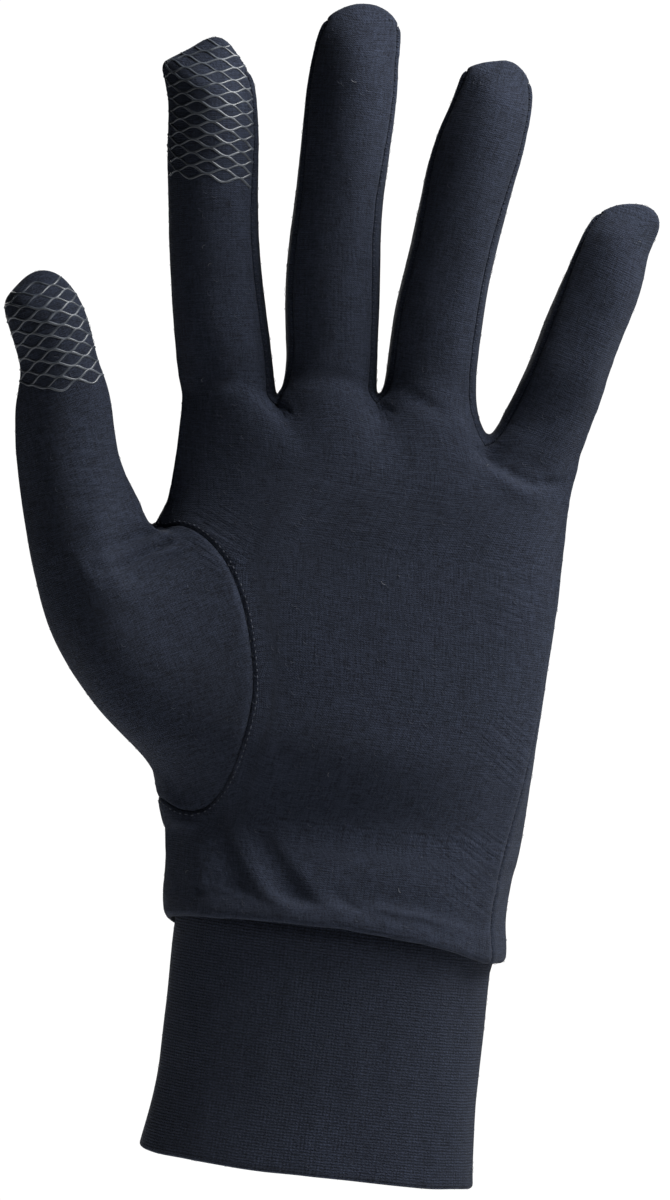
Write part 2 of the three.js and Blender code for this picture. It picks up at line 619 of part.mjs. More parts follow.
// A sewn panel: the skin's faces, an inner face one wall behind them, and a rim all round
function panelGeometry(piece) {
  const faces = fine.faces.filter((face) => face.piece === piece);
  const shifts = seamShifts(faces, piece);
  const places = new Map();
  new Set(faces.flatMap((face) => face.corners)).forEach((j) => {
    const outer = skin[j].clone().add(shifts.get(j) || new THREE.Vector3());
    const isLip = skin[j].z < lipTop && skinNormals[j].z < 0;
    const behind = isLip ? new THREE.Vector3(0, 0, fabricWall) : skinNormals[j].clone().multiplyScalar(-fabricWall);
    places.set(`out${j}`, outer);
    places.set(`in${j}`, outer.clone().add(behind));
  });
  const triangles = [];
  faces.forEach(({ corners }) => {
    const [a, b, c, d] = corners.map((j) => `out${j}`);
    triangles.push([a, b, c], [a, c, d]);
    corners.forEach((from, k) => {
      const to = corners[(k + 1) % 4];
      if (pieceAt(to, from) !== piece) {
        triangles.push(...rimTriangles(from, to));
      }
    });
  });
  faces
    .filter((face) => isTight(cageFaces[face.parent]))
    .forEach(({ corners }) => {
      const [a, b, c, d] = corners.map((j) => `in${j}`);
      triangles.push([a, c, b], [a, d, c]);
    });
  new Set(faces.map((face) => face.parent)).forEach((parent) => {
    if (isTight(cageFaces[parent])) {
      return;
    }
    const { corners } = cageFaces[parent];
    const loop = [];
    corners.forEach((a, k) => {
      const mid = fine.midOf(a, corners[(k + 1) % 4]);
      const beyond = fineFaceOf.get(`${mid}>${a}`);
      loop.push({ key: `in${a}`, isMid: false });
      if (beyond === undefined || beyond.piece !== piece || isTight(cageFaces[beyond.parent])) {
        loop.push({ key: `in${mid}`, isMid: true });
      }
    });
    const start = loop.length === 5 ? loop.findIndex(({ isMid }) => isMid) : 0;
    for (let k = 1; k + 1 < loop.length; k += 1) {
      const b = loop[(start + k) % loop.length].key;
      const c = loop[(start + k + 1) % loop.length].key;
      triangles.push([loop[start].key, c, b]);
    }
  });
  return solidFrom(places, triangles);
}

// The cuff: a folded rib band swept round the wrist section, with its top edge tucked into the palm
function cuffGeometry() {
  const columns = 40;
  const roundShare = 0.15;
  const topUp = cuffHeight + cuffTuck;
  const hemRadius = cuffWall / 2;
  const profile = [
    { up: 0, through: 0.5 },
    { up: hemRadius * 0.3, through: roundShare },
    { up: hemRadius, through: 0 },
    { up: hemFlareHeight * 0.4, through: 0 },
    { up: hemFlareHeight, through: 0 },
    { up: mix(hemFlareHeight, cuffHeight, 0.5), through: 0 },
    { up: topUp, through: 0 },
    { up: topUp, through: 1 },
    { up: hemFlareHeight, through: 1 },
    { up: hemRadius, through: 1 },
    { up: hemRadius * 0.3, through: 1 - roundShare },
  ];
  const places = new Map();
  profile.forEach(({ up, through }, i) => {
    const flare = hemFlare * max(0, 1 - up / hemFlareHeight) ** 1.5;
    const half = wristBreadth / 2 + flare;
    const halfDepth = wristDepth / 2 + flare;
    const section = sectionAt(-half, half, halfDepth, palmSections[0].boxy);
    for (let k = 0; k < columns; k += 1) {
      const point = sectionPoint(section, (360 * k) / columns);
      const normal = new THREE.Vector2(
        (section.boxy * sign(point.x) * abs(point.x) ** (section.boxy - 1)) / half ** section.boxy,
        (2 * point.y) / halfDepth ** 2,
      ).normalize();
      point.addScaledVector(normal, -through * cuffWall);
      places.set(`p${i}_${k}`, new THREE.Vector3(point.x, point.y, up));
    }
  });
  const triangles = [];
  for (let i = 0; i < profile.length; i += 1) {
    const above = (i + 1) % profile.length;
    for (let k = 0; k < columns; k += 1) {
      const next = (k + 1) % columns;
      const [a, b, c, d] = [`p${i}_${k}`, `p${i}_${next}`, `p${above}_${next}`, `p${above}_${k}`];
      triangles.push([a, b, c], [a, c, d]);
    }
  }
  return solidFrom(places, triangles);
}

// Outer skin of one piece, for laying the print on it
function skinMesh(piece) {
  const places = new Map(skin.map((point, j) => [`s${j}`, point]));
  const triangles = [];
  fine.faces
    .filter((face) => face.piece === piece)
    .forEach(({ corners }) => {
      const [a, b, c, d] = corners.map((j) => `s${j}`);
      triangles.push([a, b, c], [a, c, d]);
    });
  return new THREE.Mesh(solidFrom(places, triangles), new THREE.MeshBasicMaterial({ side: THREE.DoubleSide }));
}

// Corners of a net cell: each lies on the flat top's left or right end of its own or the next column of cells
const cellCorners = [
  { column: -1, side: 1, half: 0 },
  { column: 0, side: -1, half: 1 },
  { column: 0, side: 1, half: 1 },
  { column: 1, side: -1, half: 0 },
  { column: 0, side: 1, half: -1 },
  { column: 0, side: -1, half: -1 },
];

// The net: six-sided cells that share their lines, laid on the skin by rays from inside the finger.
// A cell is kept where all its corners lie inside the printed field.
function netGeometry(mesh, fits, castFrom) {
  const tilt = radians(netTilt);
  const halfRow = netRowPitch / 2;
  const pointed = netColumnPitch - netFlatTop / 2;
  const slope = atan2(halfRow, pointed - netFlatTop / 2);
  const holeTip = pointed - netLine / 2 / sin(slope);
  const holeHalf = halfRow - netLine / 2;
  const holeFlat = max(netFlatTop / 8, holeTip - holeHalf / tan(slope));
  const turned = (sideways, up) => [sideways * cos(tilt) - up * sin(tilt), sideways * sin(tilt) + up * cos(tilt)];
  const places = new Map();
  const ray = new THREE.Raycaster();
  const lay = (key, sideways, up) => {
    if (!places.has(`base${key}`)) {
      const { origin, direction } = castFrom(...turned(sideways, up));
      ray.set(origin, direction);
      const hit = ray.intersectObject(mesh)[0];
      places.set(`base${key}`, hit.point.clone().addScaledVector(direction, printClearance));
      places.set(`face${key}`, hit.point.clone().addScaledVector(direction, printClearance + printThickness));
    }
    return key;
  };
  const triangles = [];
  const borders = new Map();
  const quad = (a, b, c, d) => triangles.push([a, b, c], [a, c, d]);
  const cornerPlace = (column, halfRows, corner) => [
    (column + corner.column) * netColumnPitch + (corner.side * netFlatTop) / 2,
    (halfRows + corner.half) * halfRow,
  ];
  const addCell = (column, halfRows) => {
    const middle = [column * netColumnPitch, halfRows * halfRow];
    const outer = cellCorners.map((corner) => {
      const key = `${column + corner.column}_${corner.side}_${halfRows + corner.half}`;
      return lay(key, ...cornerPlace(column, halfRows, corner));
    });
    const inner = cellCorners.map((corner, k) => {
      const sideways = corner.half === 0 ? -corner.side * holeTip : corner.side * holeFlat;
      return lay(`${column}_${halfRows}hole${k}`, middle[0] + sideways, middle[1] + corner.half * holeHalf);
    });
    for (let k = 0; k < 6; k += 1) {
      const n = (k + 1) % 6;
      quad(`face${outer[n]}`, `face${outer[k]}`, `face${inner[k]}`, `face${inner[n]}`);
      quad(`base${outer[k]}`, `base${outer[n]}`, `base${inner[n]}`, `base${inner[k]}`);
      quad(`face${inner[n]}`, `face${inner[k]}`, `base${inner[k]}`, `base${inner[n]}`);
      const back = `${outer[n]}>${outer[k]}`;
      if (borders.has(back)) {
        borders.delete(back);
      } else {
        borders.set(`${outer[k]}>${outer[n]}`, [outer[k], outer[n]]);
      }
    }
  };
  const reach = 24;
  for (let column = -reach; column <= reach; column += 1) {
    for (let halfRows = -reach + abs(column % 2); halfRows <= reach; halfRows += 2) {
      if (cellCorners.every((corner) => fits(...turned(...cornerPlace(column, halfRows, corner))))) {
        addCell(column, halfRows);
      }
    }
  }
  borders.forEach(([a, b]) => quad(`face${a}`, `face${b}`, `base${b}`, `base${a}`));
  return solidFrom(places, triangles);
}

// The printed field: its middle and its lower edge are shares of the length, its sides shares of the width, and
// its upper edge runs from topLeft over the peak to topRight
function fieldTest(field, length, width) {
  return (sideways, up) => {
    const across = sideways / width;
    const along = field.centre + up / length;
    const leftShare = (across - field.left) / (field.peakAcross - field.left);
    const rightShare = (across - field.peakAcross) / (field.right - field.peakAcross);
    const topLeft = mix(field.topLeft, field.peak, leftShare);
    const topRight = mix(field.peak, field.topRight, rightShare);
    const top = across < field.peakAcross ? topLeft : topRight;
    return across > field.left && across < field.right && along > field.bottom && along < top;
  };
}

const indexField = {
  centre: 0.79,
  left: -0.66,
  right: 0.49,
  bottom: 0.6,
  topLeft: 0.93,
  peakAcross: -0.1,
  peak: 0.985,
  topRight: 0.86,
};
const thumbField = {
  centre: 0.78,
  left: -0.62,
  right: 0.62,
  bottom: 0.62,
  topLeft: 0.9,
  peakAcross: 0,
  peak: 0.98,
  topRight: 0.93,
};
const thumbFieldAcross = -0.2;

function indexPrintRay(sideways, up) {
  const index = fingers[0];
  const at = fingerFrame(index, 0);
  const share = indexField.centre + up / index.length;
  const angle = (2 * sideways) / index.width;
  const origin = at(share, fingerSections.index[3].offset * index.width, 0);
  const across = at(share, 1, 0).sub(at(share, 0, 0));
  const direction = across.multiplyScalar(sin(angle)).add(new THREE.Vector3(0, -cos(angle), 0));
  return { origin, direction };
}

function thumbPrintRay(sideways, up) {
  const angle = (2 * sideways) / thumbWidth;
  const origin = thumbPlace(thumbField.centre + up / thumbLength, thumbFieldAcross);
  origin.y = -thumbForward;
  const direction = thumbAcross.clone().multiplyScalar(sin(angle)).add(new THREE.Vector3(0, -cos(angle), 0));
  return { origin, direction };
}

const jersey = { color: 0x23252e, roughness: 0.92, metalness: 0 };
const ribKnit = { color: 0x1f212a, roughness: 0.94, metalness: 0 };
const silicone = { color: 0x5c616c, roughness: 0.35, metalness: 0 };

const glove = new THREE.Group();

function addPiece(name, geometry, finish) {
  const mesh = new THREE.Mesh(geometry, new THREE.MeshStandardMaterial(finish));
  mesh.name = name;
  glove.add(mesh);
}

addPiece('palm_panel', panelGeometry('palm_panel'), jersey);
addPiece('back_panel', panelGeometry('back_panel'), jersey);
gussetNames.slice(1).forEach((name) => addPiece(name, panelGeometry(name), jersey));
addPiece('thumb', panelGeometry('thumb'), jersey);
addPiece('cuff', cuffGeometry(), ribKnit);
const inIndexField = fieldTest(indexField, fingers[0].length, fingers[0].width);
addPiece('print_index', netGeometry(skinMesh('palm_panel'), inIndexField, indexPrintRay), silicone);
const inThumbField = fieldTest(thumbField, thumbLength, thumbWidth);
addPiece('print_thumb', netGeometry(skinMesh('thumb'), inThumbField, thumbPrintRay), silicone);

export default glove;
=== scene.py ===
import itertools
import math

import bpy
import numpy as np
from mathutils import Matrix, Vector
from mathutils.bvhtree import BVHTree
from mathutils.kdtree import KDTree


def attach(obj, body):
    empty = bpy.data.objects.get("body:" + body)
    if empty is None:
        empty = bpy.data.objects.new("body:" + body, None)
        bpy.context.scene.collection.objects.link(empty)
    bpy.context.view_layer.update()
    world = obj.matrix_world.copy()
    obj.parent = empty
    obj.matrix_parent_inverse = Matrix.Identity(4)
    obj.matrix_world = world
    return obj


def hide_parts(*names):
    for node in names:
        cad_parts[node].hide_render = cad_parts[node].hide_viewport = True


print("loading the packed glove liner")
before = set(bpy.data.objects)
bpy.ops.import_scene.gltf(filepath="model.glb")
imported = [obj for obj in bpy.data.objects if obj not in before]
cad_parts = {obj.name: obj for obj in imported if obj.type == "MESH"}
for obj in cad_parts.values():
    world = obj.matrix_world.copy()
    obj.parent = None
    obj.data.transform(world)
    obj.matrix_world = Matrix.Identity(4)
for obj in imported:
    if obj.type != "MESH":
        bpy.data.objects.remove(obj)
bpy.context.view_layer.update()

# Everything below is laid out in millimetres and made metres when a mesh is built.
# +Z runs up the fingers, -Y is the palm side and the thumb is towards -X.
millimetre = 0.001
uvPerMm = 0.01
farAway = 99.0

hand = {
    "cuffHeight": 50.0,
    "palmLength": 118.0,
    "wristBreadth": 70.6,
    "wristDepth": 41.0,
    "cuffClearance": 0.9,
    "palmOverhang": 2.6,
    "palmDepth": 27.0,
    "webDepth": 17.0,
    "knuckleShift": -3.6,
    "knuckleDepthShare": 1.36,
    "knuckleBoxy": 2.9,
    "crotchDipFront": 2.5,
    "crotchDipBack": 1.5,
    "sideTurn": 16.0,
    "seamRiseBeside": 0.4,
    "gussetWidth": 9.2,
    "gussetTipWidth": 2.6,
    "gussetNarrowing": (0.5, 0.45),
    "wall": 1.2,
    "seamGap": 0.12,
    "solveRounds": 12,
    "fineLevels": 4,
    "wallLevels": 2,
}

fingerColumns = ("name", "length", "width", "depth", "rootShare", "webAfter", "lean", "bow", "curl")
fingerRows = (
    ("index", 77.5, 20.0, 17.8, 0.975, 2.6, -9.7, 1.6, 6.2),
    ("middle", 85.0, 20.0, 17.8, 0.97, 2.2, -2.0, 1.8, 7.6),
    ("ring", 78.5, 19.5, 17.4, 1.1, 4.6, 4.5, 1.4, 5.2),
    ("little", 58.5, 17.5, 15.8, 1.05, 0.0, 14.2, 1.0, 1.7),
)
fingers = [dict(zip(fingerColumns, row)) for row in fingerRows]
fingerCurlSpan = (0.05, 0.85)
# how far the roots stand above the palm's length: left of the index, the three gaps, right of the little one
crotchRise = (-0.031, 0.0025, 0.027, -0.023, -0.075)

# along, offset, width, depth and tilt of each section, as shares of the finger's own sizes
fingerSections = {
    "index": (
        (0.07, -0.034, 1.04, 1.02, 0.0),
        (0.26, -0.078, 1.02, 1.03, 0.0),
        (0.48, -0.088, 0.98, 1.0, 0.0),
        (0.7, -0.055, 0.985, 0.98, 0.0),
        (0.85, -0.04, 0.94, 0.86, -0.02),
        (0.925, -0.09, 0.93, 0.5, -0.06),
    ),
    "middle": (
        (0.07, 0.014, 1.0, 1.02, 0.0),
        (0.26, -0.046, 1.035, 1.03, 0.0),
        (0.48, -0.067, 0.975, 1.0, 0.0),
        (0.7, -0.035, 0.975, 0.98, 0.0),
        (0.86, -0.017, 0.915, 0.86, 0.0),
        (0.95, 0.02, 0.8, 0.5, 0.0),
    ),
    "ring": (
        (0.07, -0.078, 1.04, 1.02, 0.0),
        (0.26, -0.147, 1.0, 1.03, 0.0),
        (0.48, -0.136, 0.955, 1.0, 0.0),
        (0.7, -0.103, 0.99, 0.98, 0.0),
        (0.86, -0.035, 0.88, 0.84, 0.0),
        (0.95, -0.034, 0.74, 0.5, 0.0),
    ),
    "little": (
        (0.09, 0.03, 1.09, 1.02, 0.0),
        (0.28, 0.051, 1.02, 1.03, 0.0),
        (0.49, 0.039, 0.99, 1.0, 0.0),
        (0.7, 0.057, 0.955, 0.98, 0.0),
        (0.85, 0.04, 0.845, 0.84, 0.0),
        (0.94, 0.086, 0.78, 0.52, 0.04),
    ),
}
fingerTips = {  # along and across of both ends of the tip seam
    "index": ((0.985, -0.27), (1.015, 0.1)),
    "middle": ((0.998, -0.12), (1.0, 0.2)),
    "ring": ((0.995, -0.13), (1.0, 0.13)),
    "little": ((0.995, -0.08), (1.02, 0.3)),
}

palmColumns = ("up", "left", "right", "overhang", "depth", "boxy", "seamTurn", "seamAcross")
palmRows = (
    (-0.008, 0, 0, 0, 0, 2.2, 24, -0.66),
    (0.007, 0, 0, 1, 0, 2.2, 24, -0.66),
    (0.06, 0.27, 0.36, 0, -0.12, 2.2, 25, -0.66),
    (0.115, 0.28, 0.33, 0, 0, 2.25, 25, -0.66),
    (0.17, 0.36, 0.42, 0, 0.14, 2.3, 25, -0.67),
    (0.229, 0.58, 0.56, 0, 0.32, 2.4, 24, -0.67),
    (0.475, 0.86, 0.82, 0, 0.76, 2.6, 14, -0.5),
    (0.729, 1.145, 0.86, 0, 1.0, 2.8, 4, -0.61),
    (0.86, 0.93, 0.86, 0, 1.12, 2.9, 0, -0.5),
)
palmSections = [dict(zip(palmColumns, row)) for row in palmRows]
holeRows = (5, 7)
thumbSeam = {  # row: (across, rise) of the three columns beside the thumb
    5: ((-0.94, -0.015), (-0.825, -0.007), (-0.67, 0.047)),
    6: ((-0.94, 0.0), (-0.75, 0.0), (-0.5, -0.01)),
    7: ((-0.9, 0.004), (-0.74, -0.01), (-0.61, -0.063)),
}

thumb = {
    "length": 92.0,
    "width": 20.0,
    "depth": 18.0,
    "forward": 11.0,
    "lean": -25.0,
    "rootAcross": -42.0,
    "rootUp": 56.0,
    "tipFlat": 5.0,
}
thumbSections = (  # innerAlong, innerAcross, outerAlong, outerAcross, forward, depth
    (0.383, 0.19, -0.107, -0.78, 0.4, 1.62),
    (0.48, 0.13, 0.154, -1.15, 0.5, 1.36),
    (0.574, 0.17, 0.445, -1.04, 0.62, 1.14),
    (0.671, 0.25, 0.682, -0.8, 0.83, 1.02),
    (0.758, 0.25, 0.79, -0.58, 0.98, 0.96),
    (0.861, 0.28, 0.915, -0.56, 1.06, 0.82),
    (0.93, 0.22, 0.965, -0.42, 1.06, 0.48),
)
thumbTips = ((0.97, 0.12), (0.99, -0.02), (0.99, -0.2))

cageNames = [
    "palm_panel",
    "back_panel",
    "fourchette_index_middle",
    "fourchette_middle_ring",
    "fourchette_ring_little",
    "thumb",
]


def mix(a, b, share):
    return a + (b - a) * share


def cosSin(degrees):
    return math.cos(math.radians(degrees)), math.sin(math.radians(degrees))


def smoothShare(value, low, high):
    share = np.clip((value - low) / (high - low), 0.0, 1.0)
    return share * share * (3 - 2 * share)


def softNoise(places, seed):
    # value noise between -1 and 1, one cell a unit
    cell = np.floor(places).astype(np.int64)
    part = places - cell
    part = part * part * (3 - 2 * part)
    total = np.zeros(len(places))
    for corner in itertools.product((0, 1), repeat=3):
        at = (cell + corner).astype(np.uint64)
        mixed = at[:, 0] * np.uint64(73856093) ^ at[:, 1] * np.uint64(19349663)
        mixed ^= at[:, 2] * np.uint64(83492791)
        mixed = (mixed ^ np.uint64(seed * 2654435761 + 97)) * np.uint64(6364136223846793005)
        value = ((mixed >> np.uint64(33)) & np.uint64(65535)).astype(float) / 32767.5 - 1
        weight = np.where(corner, part, 1 - part).prod(axis=1)
        total += value * weight
    return total


# Shape of the hand: the widths across the knuckles
lastFinger = len(fingers) - 1
rootSpans = []
for number, finger in enumerate(fingers):
    webBefore = fingers[number - 1]["webAfter"] if number else 0.0
    rootSpans.append(finger["width"] * finger["rootShare"] + (finger["webAfter"] + webBefore) / 2)
knuckleBreadth = sum(rootSpans)
knuckleLeft = hand["knuckleShift"] - knuckleBreadth / 2
knuckleRight = hand["knuckleShift"] + knuckleBreadth / 2
rootEdges = [knuckleLeft + sum(rootSpans[:number]) for number in range(len(fingers) + 1)]
rootEdgeUp = [hand["cuffHeight"] + hand["palmLength"] * (1 + rise) for rise in crotchRise]
frontColumns = 3 * len(fingers) + 1


def sectionAt(left, right, halfDepth, boxy):
    return {"middle": (left + right) / 2, "half": (right - left) / 2, "halfDepth": halfDepth, "boxy": boxy}


def sectionPoint(section, turn):
    c, s = cosSin(turn)
    x = section["middle"] + section["half"] * math.copysign(abs(c) ** (2 / section["boxy"]), c)
    return x, section["halfDepth"] * s


def acrossOf(section, turn):
    return cosSin(turn)[0] ** (2 / section["boxy"])


def turnOf(section, across):
    turn = math.degrees(math.acos(min(1.0, abs(across)) ** (section["boxy"] / 2)))
    return 180 - turn if across < 0 else turn


def palmSection(row):
    ease = mix(hand["cuffClearance"], hand["palmOverhang"], row["overhang"])
    grow = ease if row["left"] == 0 and row["right"] == 0 else 0.0
    wristHalf = hand["wristBreadth"] / 2
    left = -mix(wristHalf, -knuckleLeft, row["left"]) - grow
    right = mix(wristHalf, knuckleRight, row["right"]) + grow
    halfDepth = mix(hand["wristDepth"] / 2, hand["palmDepth"] / 2, row["depth"]) + grow
    return sectionAt(left, right, halfDepth, row["boxy"])


knuckleHalfDepth = mix(hand["wristDepth"] / 2, hand["palmDepth"] / 2, hand["knuckleDepthShare"])
knuckleSection = sectionAt(knuckleLeft, knuckleRight, knuckleHalfDepth, hand["knuckleBoxy"])


def knuckleAcross(column):
    side = acrossOf(knuckleSection, hand["sideTurn"])
    number = min(column // 3, lastFinger)
    x = mix(rootEdges[number], rootEdges[number + 1], (column - 3 * number) / 3)
    return max(-side, min(side, (x - knuckleSection["middle"]) / knuckleSection["half"]))


cagePoints = []
cageQuads = []
cagePieces = []
cageFlat = []  # where each face corner lies on the flat cloth, in millimetres


def addPoint(x, y, z):
    cagePoints.append((x, y, z))
    return len(cagePoints) - 1


def addFace(piece, corners, flat):
    cageQuads.append(corners)
    cagePieces.append(cageNames.index(piece))
    cageFlat.append(flat)


def runningLength(places):
    return np.concatenate([[0.0], np.cumsum(np.linalg.norm(np.diff(places, axis=0), axis=1))])


def arcs(loop):
    return runningLength(np.array([cagePoints[j] for j in loop]))


def palmRow(row, number):
    section = palmSection(row)
    up = hand["cuffHeight"] + hand["palmLength"] * row["up"]
    rightAcross = acrossOf(section, -hand["sideTurn"] - 0.8 * row["seamTurn"])
    leftAcross = -acrossOf(section, hand["sideTurn"])
    firstAcross, lastAcross = knuckleAcross(2), knuckleAcross(frontColumns - 1)
    lastTurn = -hand["sideTurn"] + 0.6 * row["seamTurn"]
    seam = thumbSeam.get(number)
    front, back = [], []
    for column in range(frontColumns):
        share = (knuckleAcross(column) - firstAcross) / (lastAcross - firstAcross)
        across = mix(row["seamAcross"], rightAcross, share)
        rise = 0.0
        if column < 3:
            across = seam[column][0] if seam else mix(leftAcross, row["seamAcross"], column / 2)
            rise = seam[column][1] if seam else 0.0
        elif column == 3 and seam:
            rise = seam[2][1] * hand["seamRiseBeside"]
        x, y = sectionPoint(section, -turnOf(section, across))
        front.append(addPoint(x, y, up + rise * hand["palmLength"]))
        even = mix(-180 + hand["sideTurn"], lastTurn, column / (frontColumns - 1))
        byKnuckle = -turnOf(section, knuckleAcross(column))
        x, y = sectionPoint(section, -mix(even, byKnuckle, max(0.0, row["up"]) * (1 - row["seamTurn"] / 30)))
        back.append(addPoint(x, y, up))
    right = addPoint(*sectionPoint(section, -row["seamTurn"]), up)
    left = addPoint(*sectionPoint(section, 180), up)
    return {"front": front, "back": back, "right": right, "left": left}


def knuckleRow():
    front, back = [], []
    for column in range(frontColumns):
        number = min(column // 3, lastFinger)
        share = (column - 3 * number) / 3
        up = mix(rootEdgeUp[number], rootEdgeUp[number + 1], share)
        isCrotch = share == 0 and column > 0
        x, y = sectionPoint(knuckleSection, -turnOf(knuckleSection, knuckleAcross(column)))
        halfDepth = hand["webDepth"] / 2 if isCrotch and column < frontColumns - 1 else -y
        dips = (hand["crotchDipFront"], hand["crotchDipBack"]) if isCrotch else (0.0, 0.0)
        front.append(addPoint(x, -halfDepth, up - dips[0]))
        back.append(addPoint(x, halfDepth, up - dips[1]))
    right = addPoint(knuckleRight, 0.0, rootEdgeUp[-1])
    left = addPoint(knuckleLeft, 0.0, rootEdgeUp[0])
    saddles = {c: addPoint(rootEdges[c], 0.0, rootEdgeUp[c]) for c in range(1, len(fingers))}
    return {"front": front, "back": back, "right": right, "left": left, "saddles": saddles}


def loopOf(row):
    return [row["left"], *row["front"], row["right"], *reversed(row["back"])]


rows = [palmRow(row, number) for number, row in enumerate(palmSections)]
knuckles = knuckleRow()
palmLoops = [loopOf(row) for row in [*rows, knuckles]]
loopLength = len(palmLoops[0])
frontSteps = frontColumns + 1


def palmFlat(loop):
    # flat place of every step, and of the first step again: the front from its middle, the back from its own
    run = arcs([*loop, loop[0]])
    front = run[: frontSteps + 1] - run[frontSteps // 2]
    back = run[frontSteps:] - run[frontSteps + frontSteps // 2]
    ups = [cagePoints[j][2] for j in [*loop, loop[0]]]
    return front, back, ups


palmPlaces = [palmFlat(loop) for loop in palmLoops]
for i in range(len(palmLoops) - 1):
    for step in range(loopLength):
        inHole = holeRows[0] <= i < holeRows[1] and (step < 3 or step == loopLength - 1)
        if inHole:
            continue
        after = (step + 1) % loopLength
        isFront = step < frontSteps
        flat = []
        for loopNumber, at in ((i, step), (i, step + 1), (i + 1, step + 1), (i + 1, step)):
            front, back, ups = palmPlaces[loopNumber]
            flat.append((front[at] if isFront else back[at - frontSteps], ups[at]))
        corners = [palmLoops[i][step], palmLoops[i][after], palmLoops[i + 1][after], palmLoops[i + 1][step]]
        addFace("palm_panel" if isFront else "back_panel", corners, flat)


def fingerPlace(number, share, sideways, backwards, lift=0.0):
    finger = fingers[number]
    c, s = cosSin(finger["lean"])
    along = share * finger["length"] + lift
    x = (rootEdges[number] + rootEdges[number + 1]) / 2 + along * s + sideways * c
    z = (rootEdgeUp[number] + rootEdgeUp[number + 1]) / 2 + along * c - sideways * s
    forward = finger["bow"] * math.sin(math.pi * min(1.0, share * 0.95))
    forward += finger["curl"] * smoothShare(share, *fingerCurlSpan)
    return x, backwards - forward, z


def addTube(rings, names, flatPlace):
    # faces between neighbouring rings of points, one strip of them for each name
    count = len(names)
    for i in range(len(rings) - 1):
        for strip in range(count):
            after = (strip + 1) % count
            corners = [rings[i][strip], rings[i][after], rings[i + 1][after], rings[i + 1][strip]]
            flat = [flatPlace(i, strip, strip), flatPlace(i, strip + 1, strip)]
            flat += [flatPlace(i + 1, strip + 1, strip), flatPlace(i + 1, strip, strip)]
            addFace(names[strip], corners, flat)


panels = ("palm_panel", "back_panel")
gussetNames = {1: cageNames[2], 2: cageNames[3], 3: cageNames[4]}
fingerTurns = 10
panelMiddles = {"palm_panel": (2, 3), "back_panel": (7, 8)}
fingerTipFaces = (  # piece, steps around the last ring, end of the tip seam after them and before them
    ("palm_panel", (0, 1, 2), 0, None),
    ("palm_panel", (2, 3), 1, 0),
    ("palm_panel", (3, 4, 5), 1, None),
    ("back_panel", (5, 6, 7), 1, None),
    ("back_panel", (7, 8), 0, 1),
    ("back_panel", (8, 9, 10), 0, None),
)


def panelMiddle(run, piece):
    one, two = panelMiddles[piece]
    return (run[one] + run[two]) / 2


def addFinger(number):
    finger = fingers[number]
    first = 3 * number
    leftSide = knuckles["left"] if number == 0 else knuckles["saddles"][number]
    rightSide = knuckles["right"] if number == lastFinger else knuckles["saddles"][number + 1]
    front = knuckles["front"][first : first + 4]
    back = knuckles["back"][first : first + 4][::-1]
    rings = [[leftSide, *front, rightSide, *back]]
    alongs = [0.0]
    for along, offset, width, depth, tilt in fingerSections[finger["name"]]:
        halfWidth = width * finger["width"] / 2
        halfDepth = depth * finger["depth"] / 2
        narrowFrom, narrowOver = hand["gussetNarrowing"]
        narrowing = max(0.0, (along - narrowFrom) / narrowOver)
        gusset = mix(hand["gussetWidth"], hand["gussetTipWidth"], narrowing) / 2
        edge = math.degrees(math.asin(min(0.75, gusset / halfDepth)))
        ring = []
        for turn in (180, 180 + edge, 248, 292, 360 - edge, 0, edge, 68, 112, 180 - edge):
            c, s = cosSin(turn)
            sideways = offset * finger["width"] + halfWidth * c
            lift = tilt * finger["width"] * c
            ring.append(addPoint(*fingerPlace(number, along, sideways, halfDepth * s, lift)))
        rings.append(ring)
        alongs.append(along * finger["length"])
    leftNames = panels if number == 0 else (gussetNames[number],) * 2
    rightNames = panels if number == lastFinger else (gussetNames[number + 1],) * 2
    strips = [leftNames[0], *["palm_panel"] * 3, *rightNames, *["back_panel"] * 3, leftNames[1]]
    rootFlat = palmPlaces[-1]
    backEnd = loopLength - frontSteps - first
    frontMiddle = (rootFlat[0][first + 2] + rootFlat[0][first + 3]) / 2
    backMiddle = (rootFlat[1][backEnd - 2] + rootFlat[1][backEnd - 3]) / 2
    upMiddle = (rootEdgeUp[number] + rootEdgeUp[number + 1]) / 2

    def flatPlace(ringNumber, step, strip):
        piece = strips[strip]
        run = arcs([*rings[ringNumber], rings[ringNumber][0]])
        up = upMiddle + alongs[ringNumber]
        if piece == "palm_panel":
            if ringNumber == 0:
                return rootFlat[0][first + step], rootFlat[2][first + step]
            return frontMiddle + run[step] - panelMiddle(run, piece), up
        if piece == "back_panel":
            if ringNumber == 0:
                at = loopLength - first - (step - 5) if step >= 5 else loopLength - first - 4
                return rootFlat[1][at - frontSteps], rootFlat[2][at]
            return backMiddle + run[step] - panelMiddle(run, piece), up
        isLeft = strip in (0, fingerTurns - 1)
        middle = run[5] if not isLeft else (run[-1] if step > 5 else run[0])
        side = 1.0 if isLeft else -1.0
        return (run[step] - middle) * side, alongs[ringNumber] * side

    addTube(rings, strips, flatPlace)
    tip = rings[-1]
    run = arcs([*tip, tip[0]])
    ends = []
    for along, across in fingerTips[finger["name"]]:
        place = addPoint(*fingerPlace(number, along, across * finger["width"], 0.0))
        ends.append((place, across * finger["width"], upMiddle + along * finger["length"]))
    for piece, steps, after, before in fingerTipFaces:
        middle, sign = (frontMiddle, 1.0) if piece == "palm_panel" else (backMiddle, -1.0)
        corners = [tip[step % fingerTurns] for step in steps]
        flat = [(middle + run[step] - panelMiddle(run, piece), upMiddle + alongs[-1]) for step in steps]
        for at, end in ((len(steps), after), (0, before)):
            if end is not None:
                place, across, up = ends[end]
                corners.insert(at, place)
                flat.insert(at, (middle + sign * across, up))
        addFace(piece, corners, flat)


for number in range(len(fingers)):
    addFinger(number)


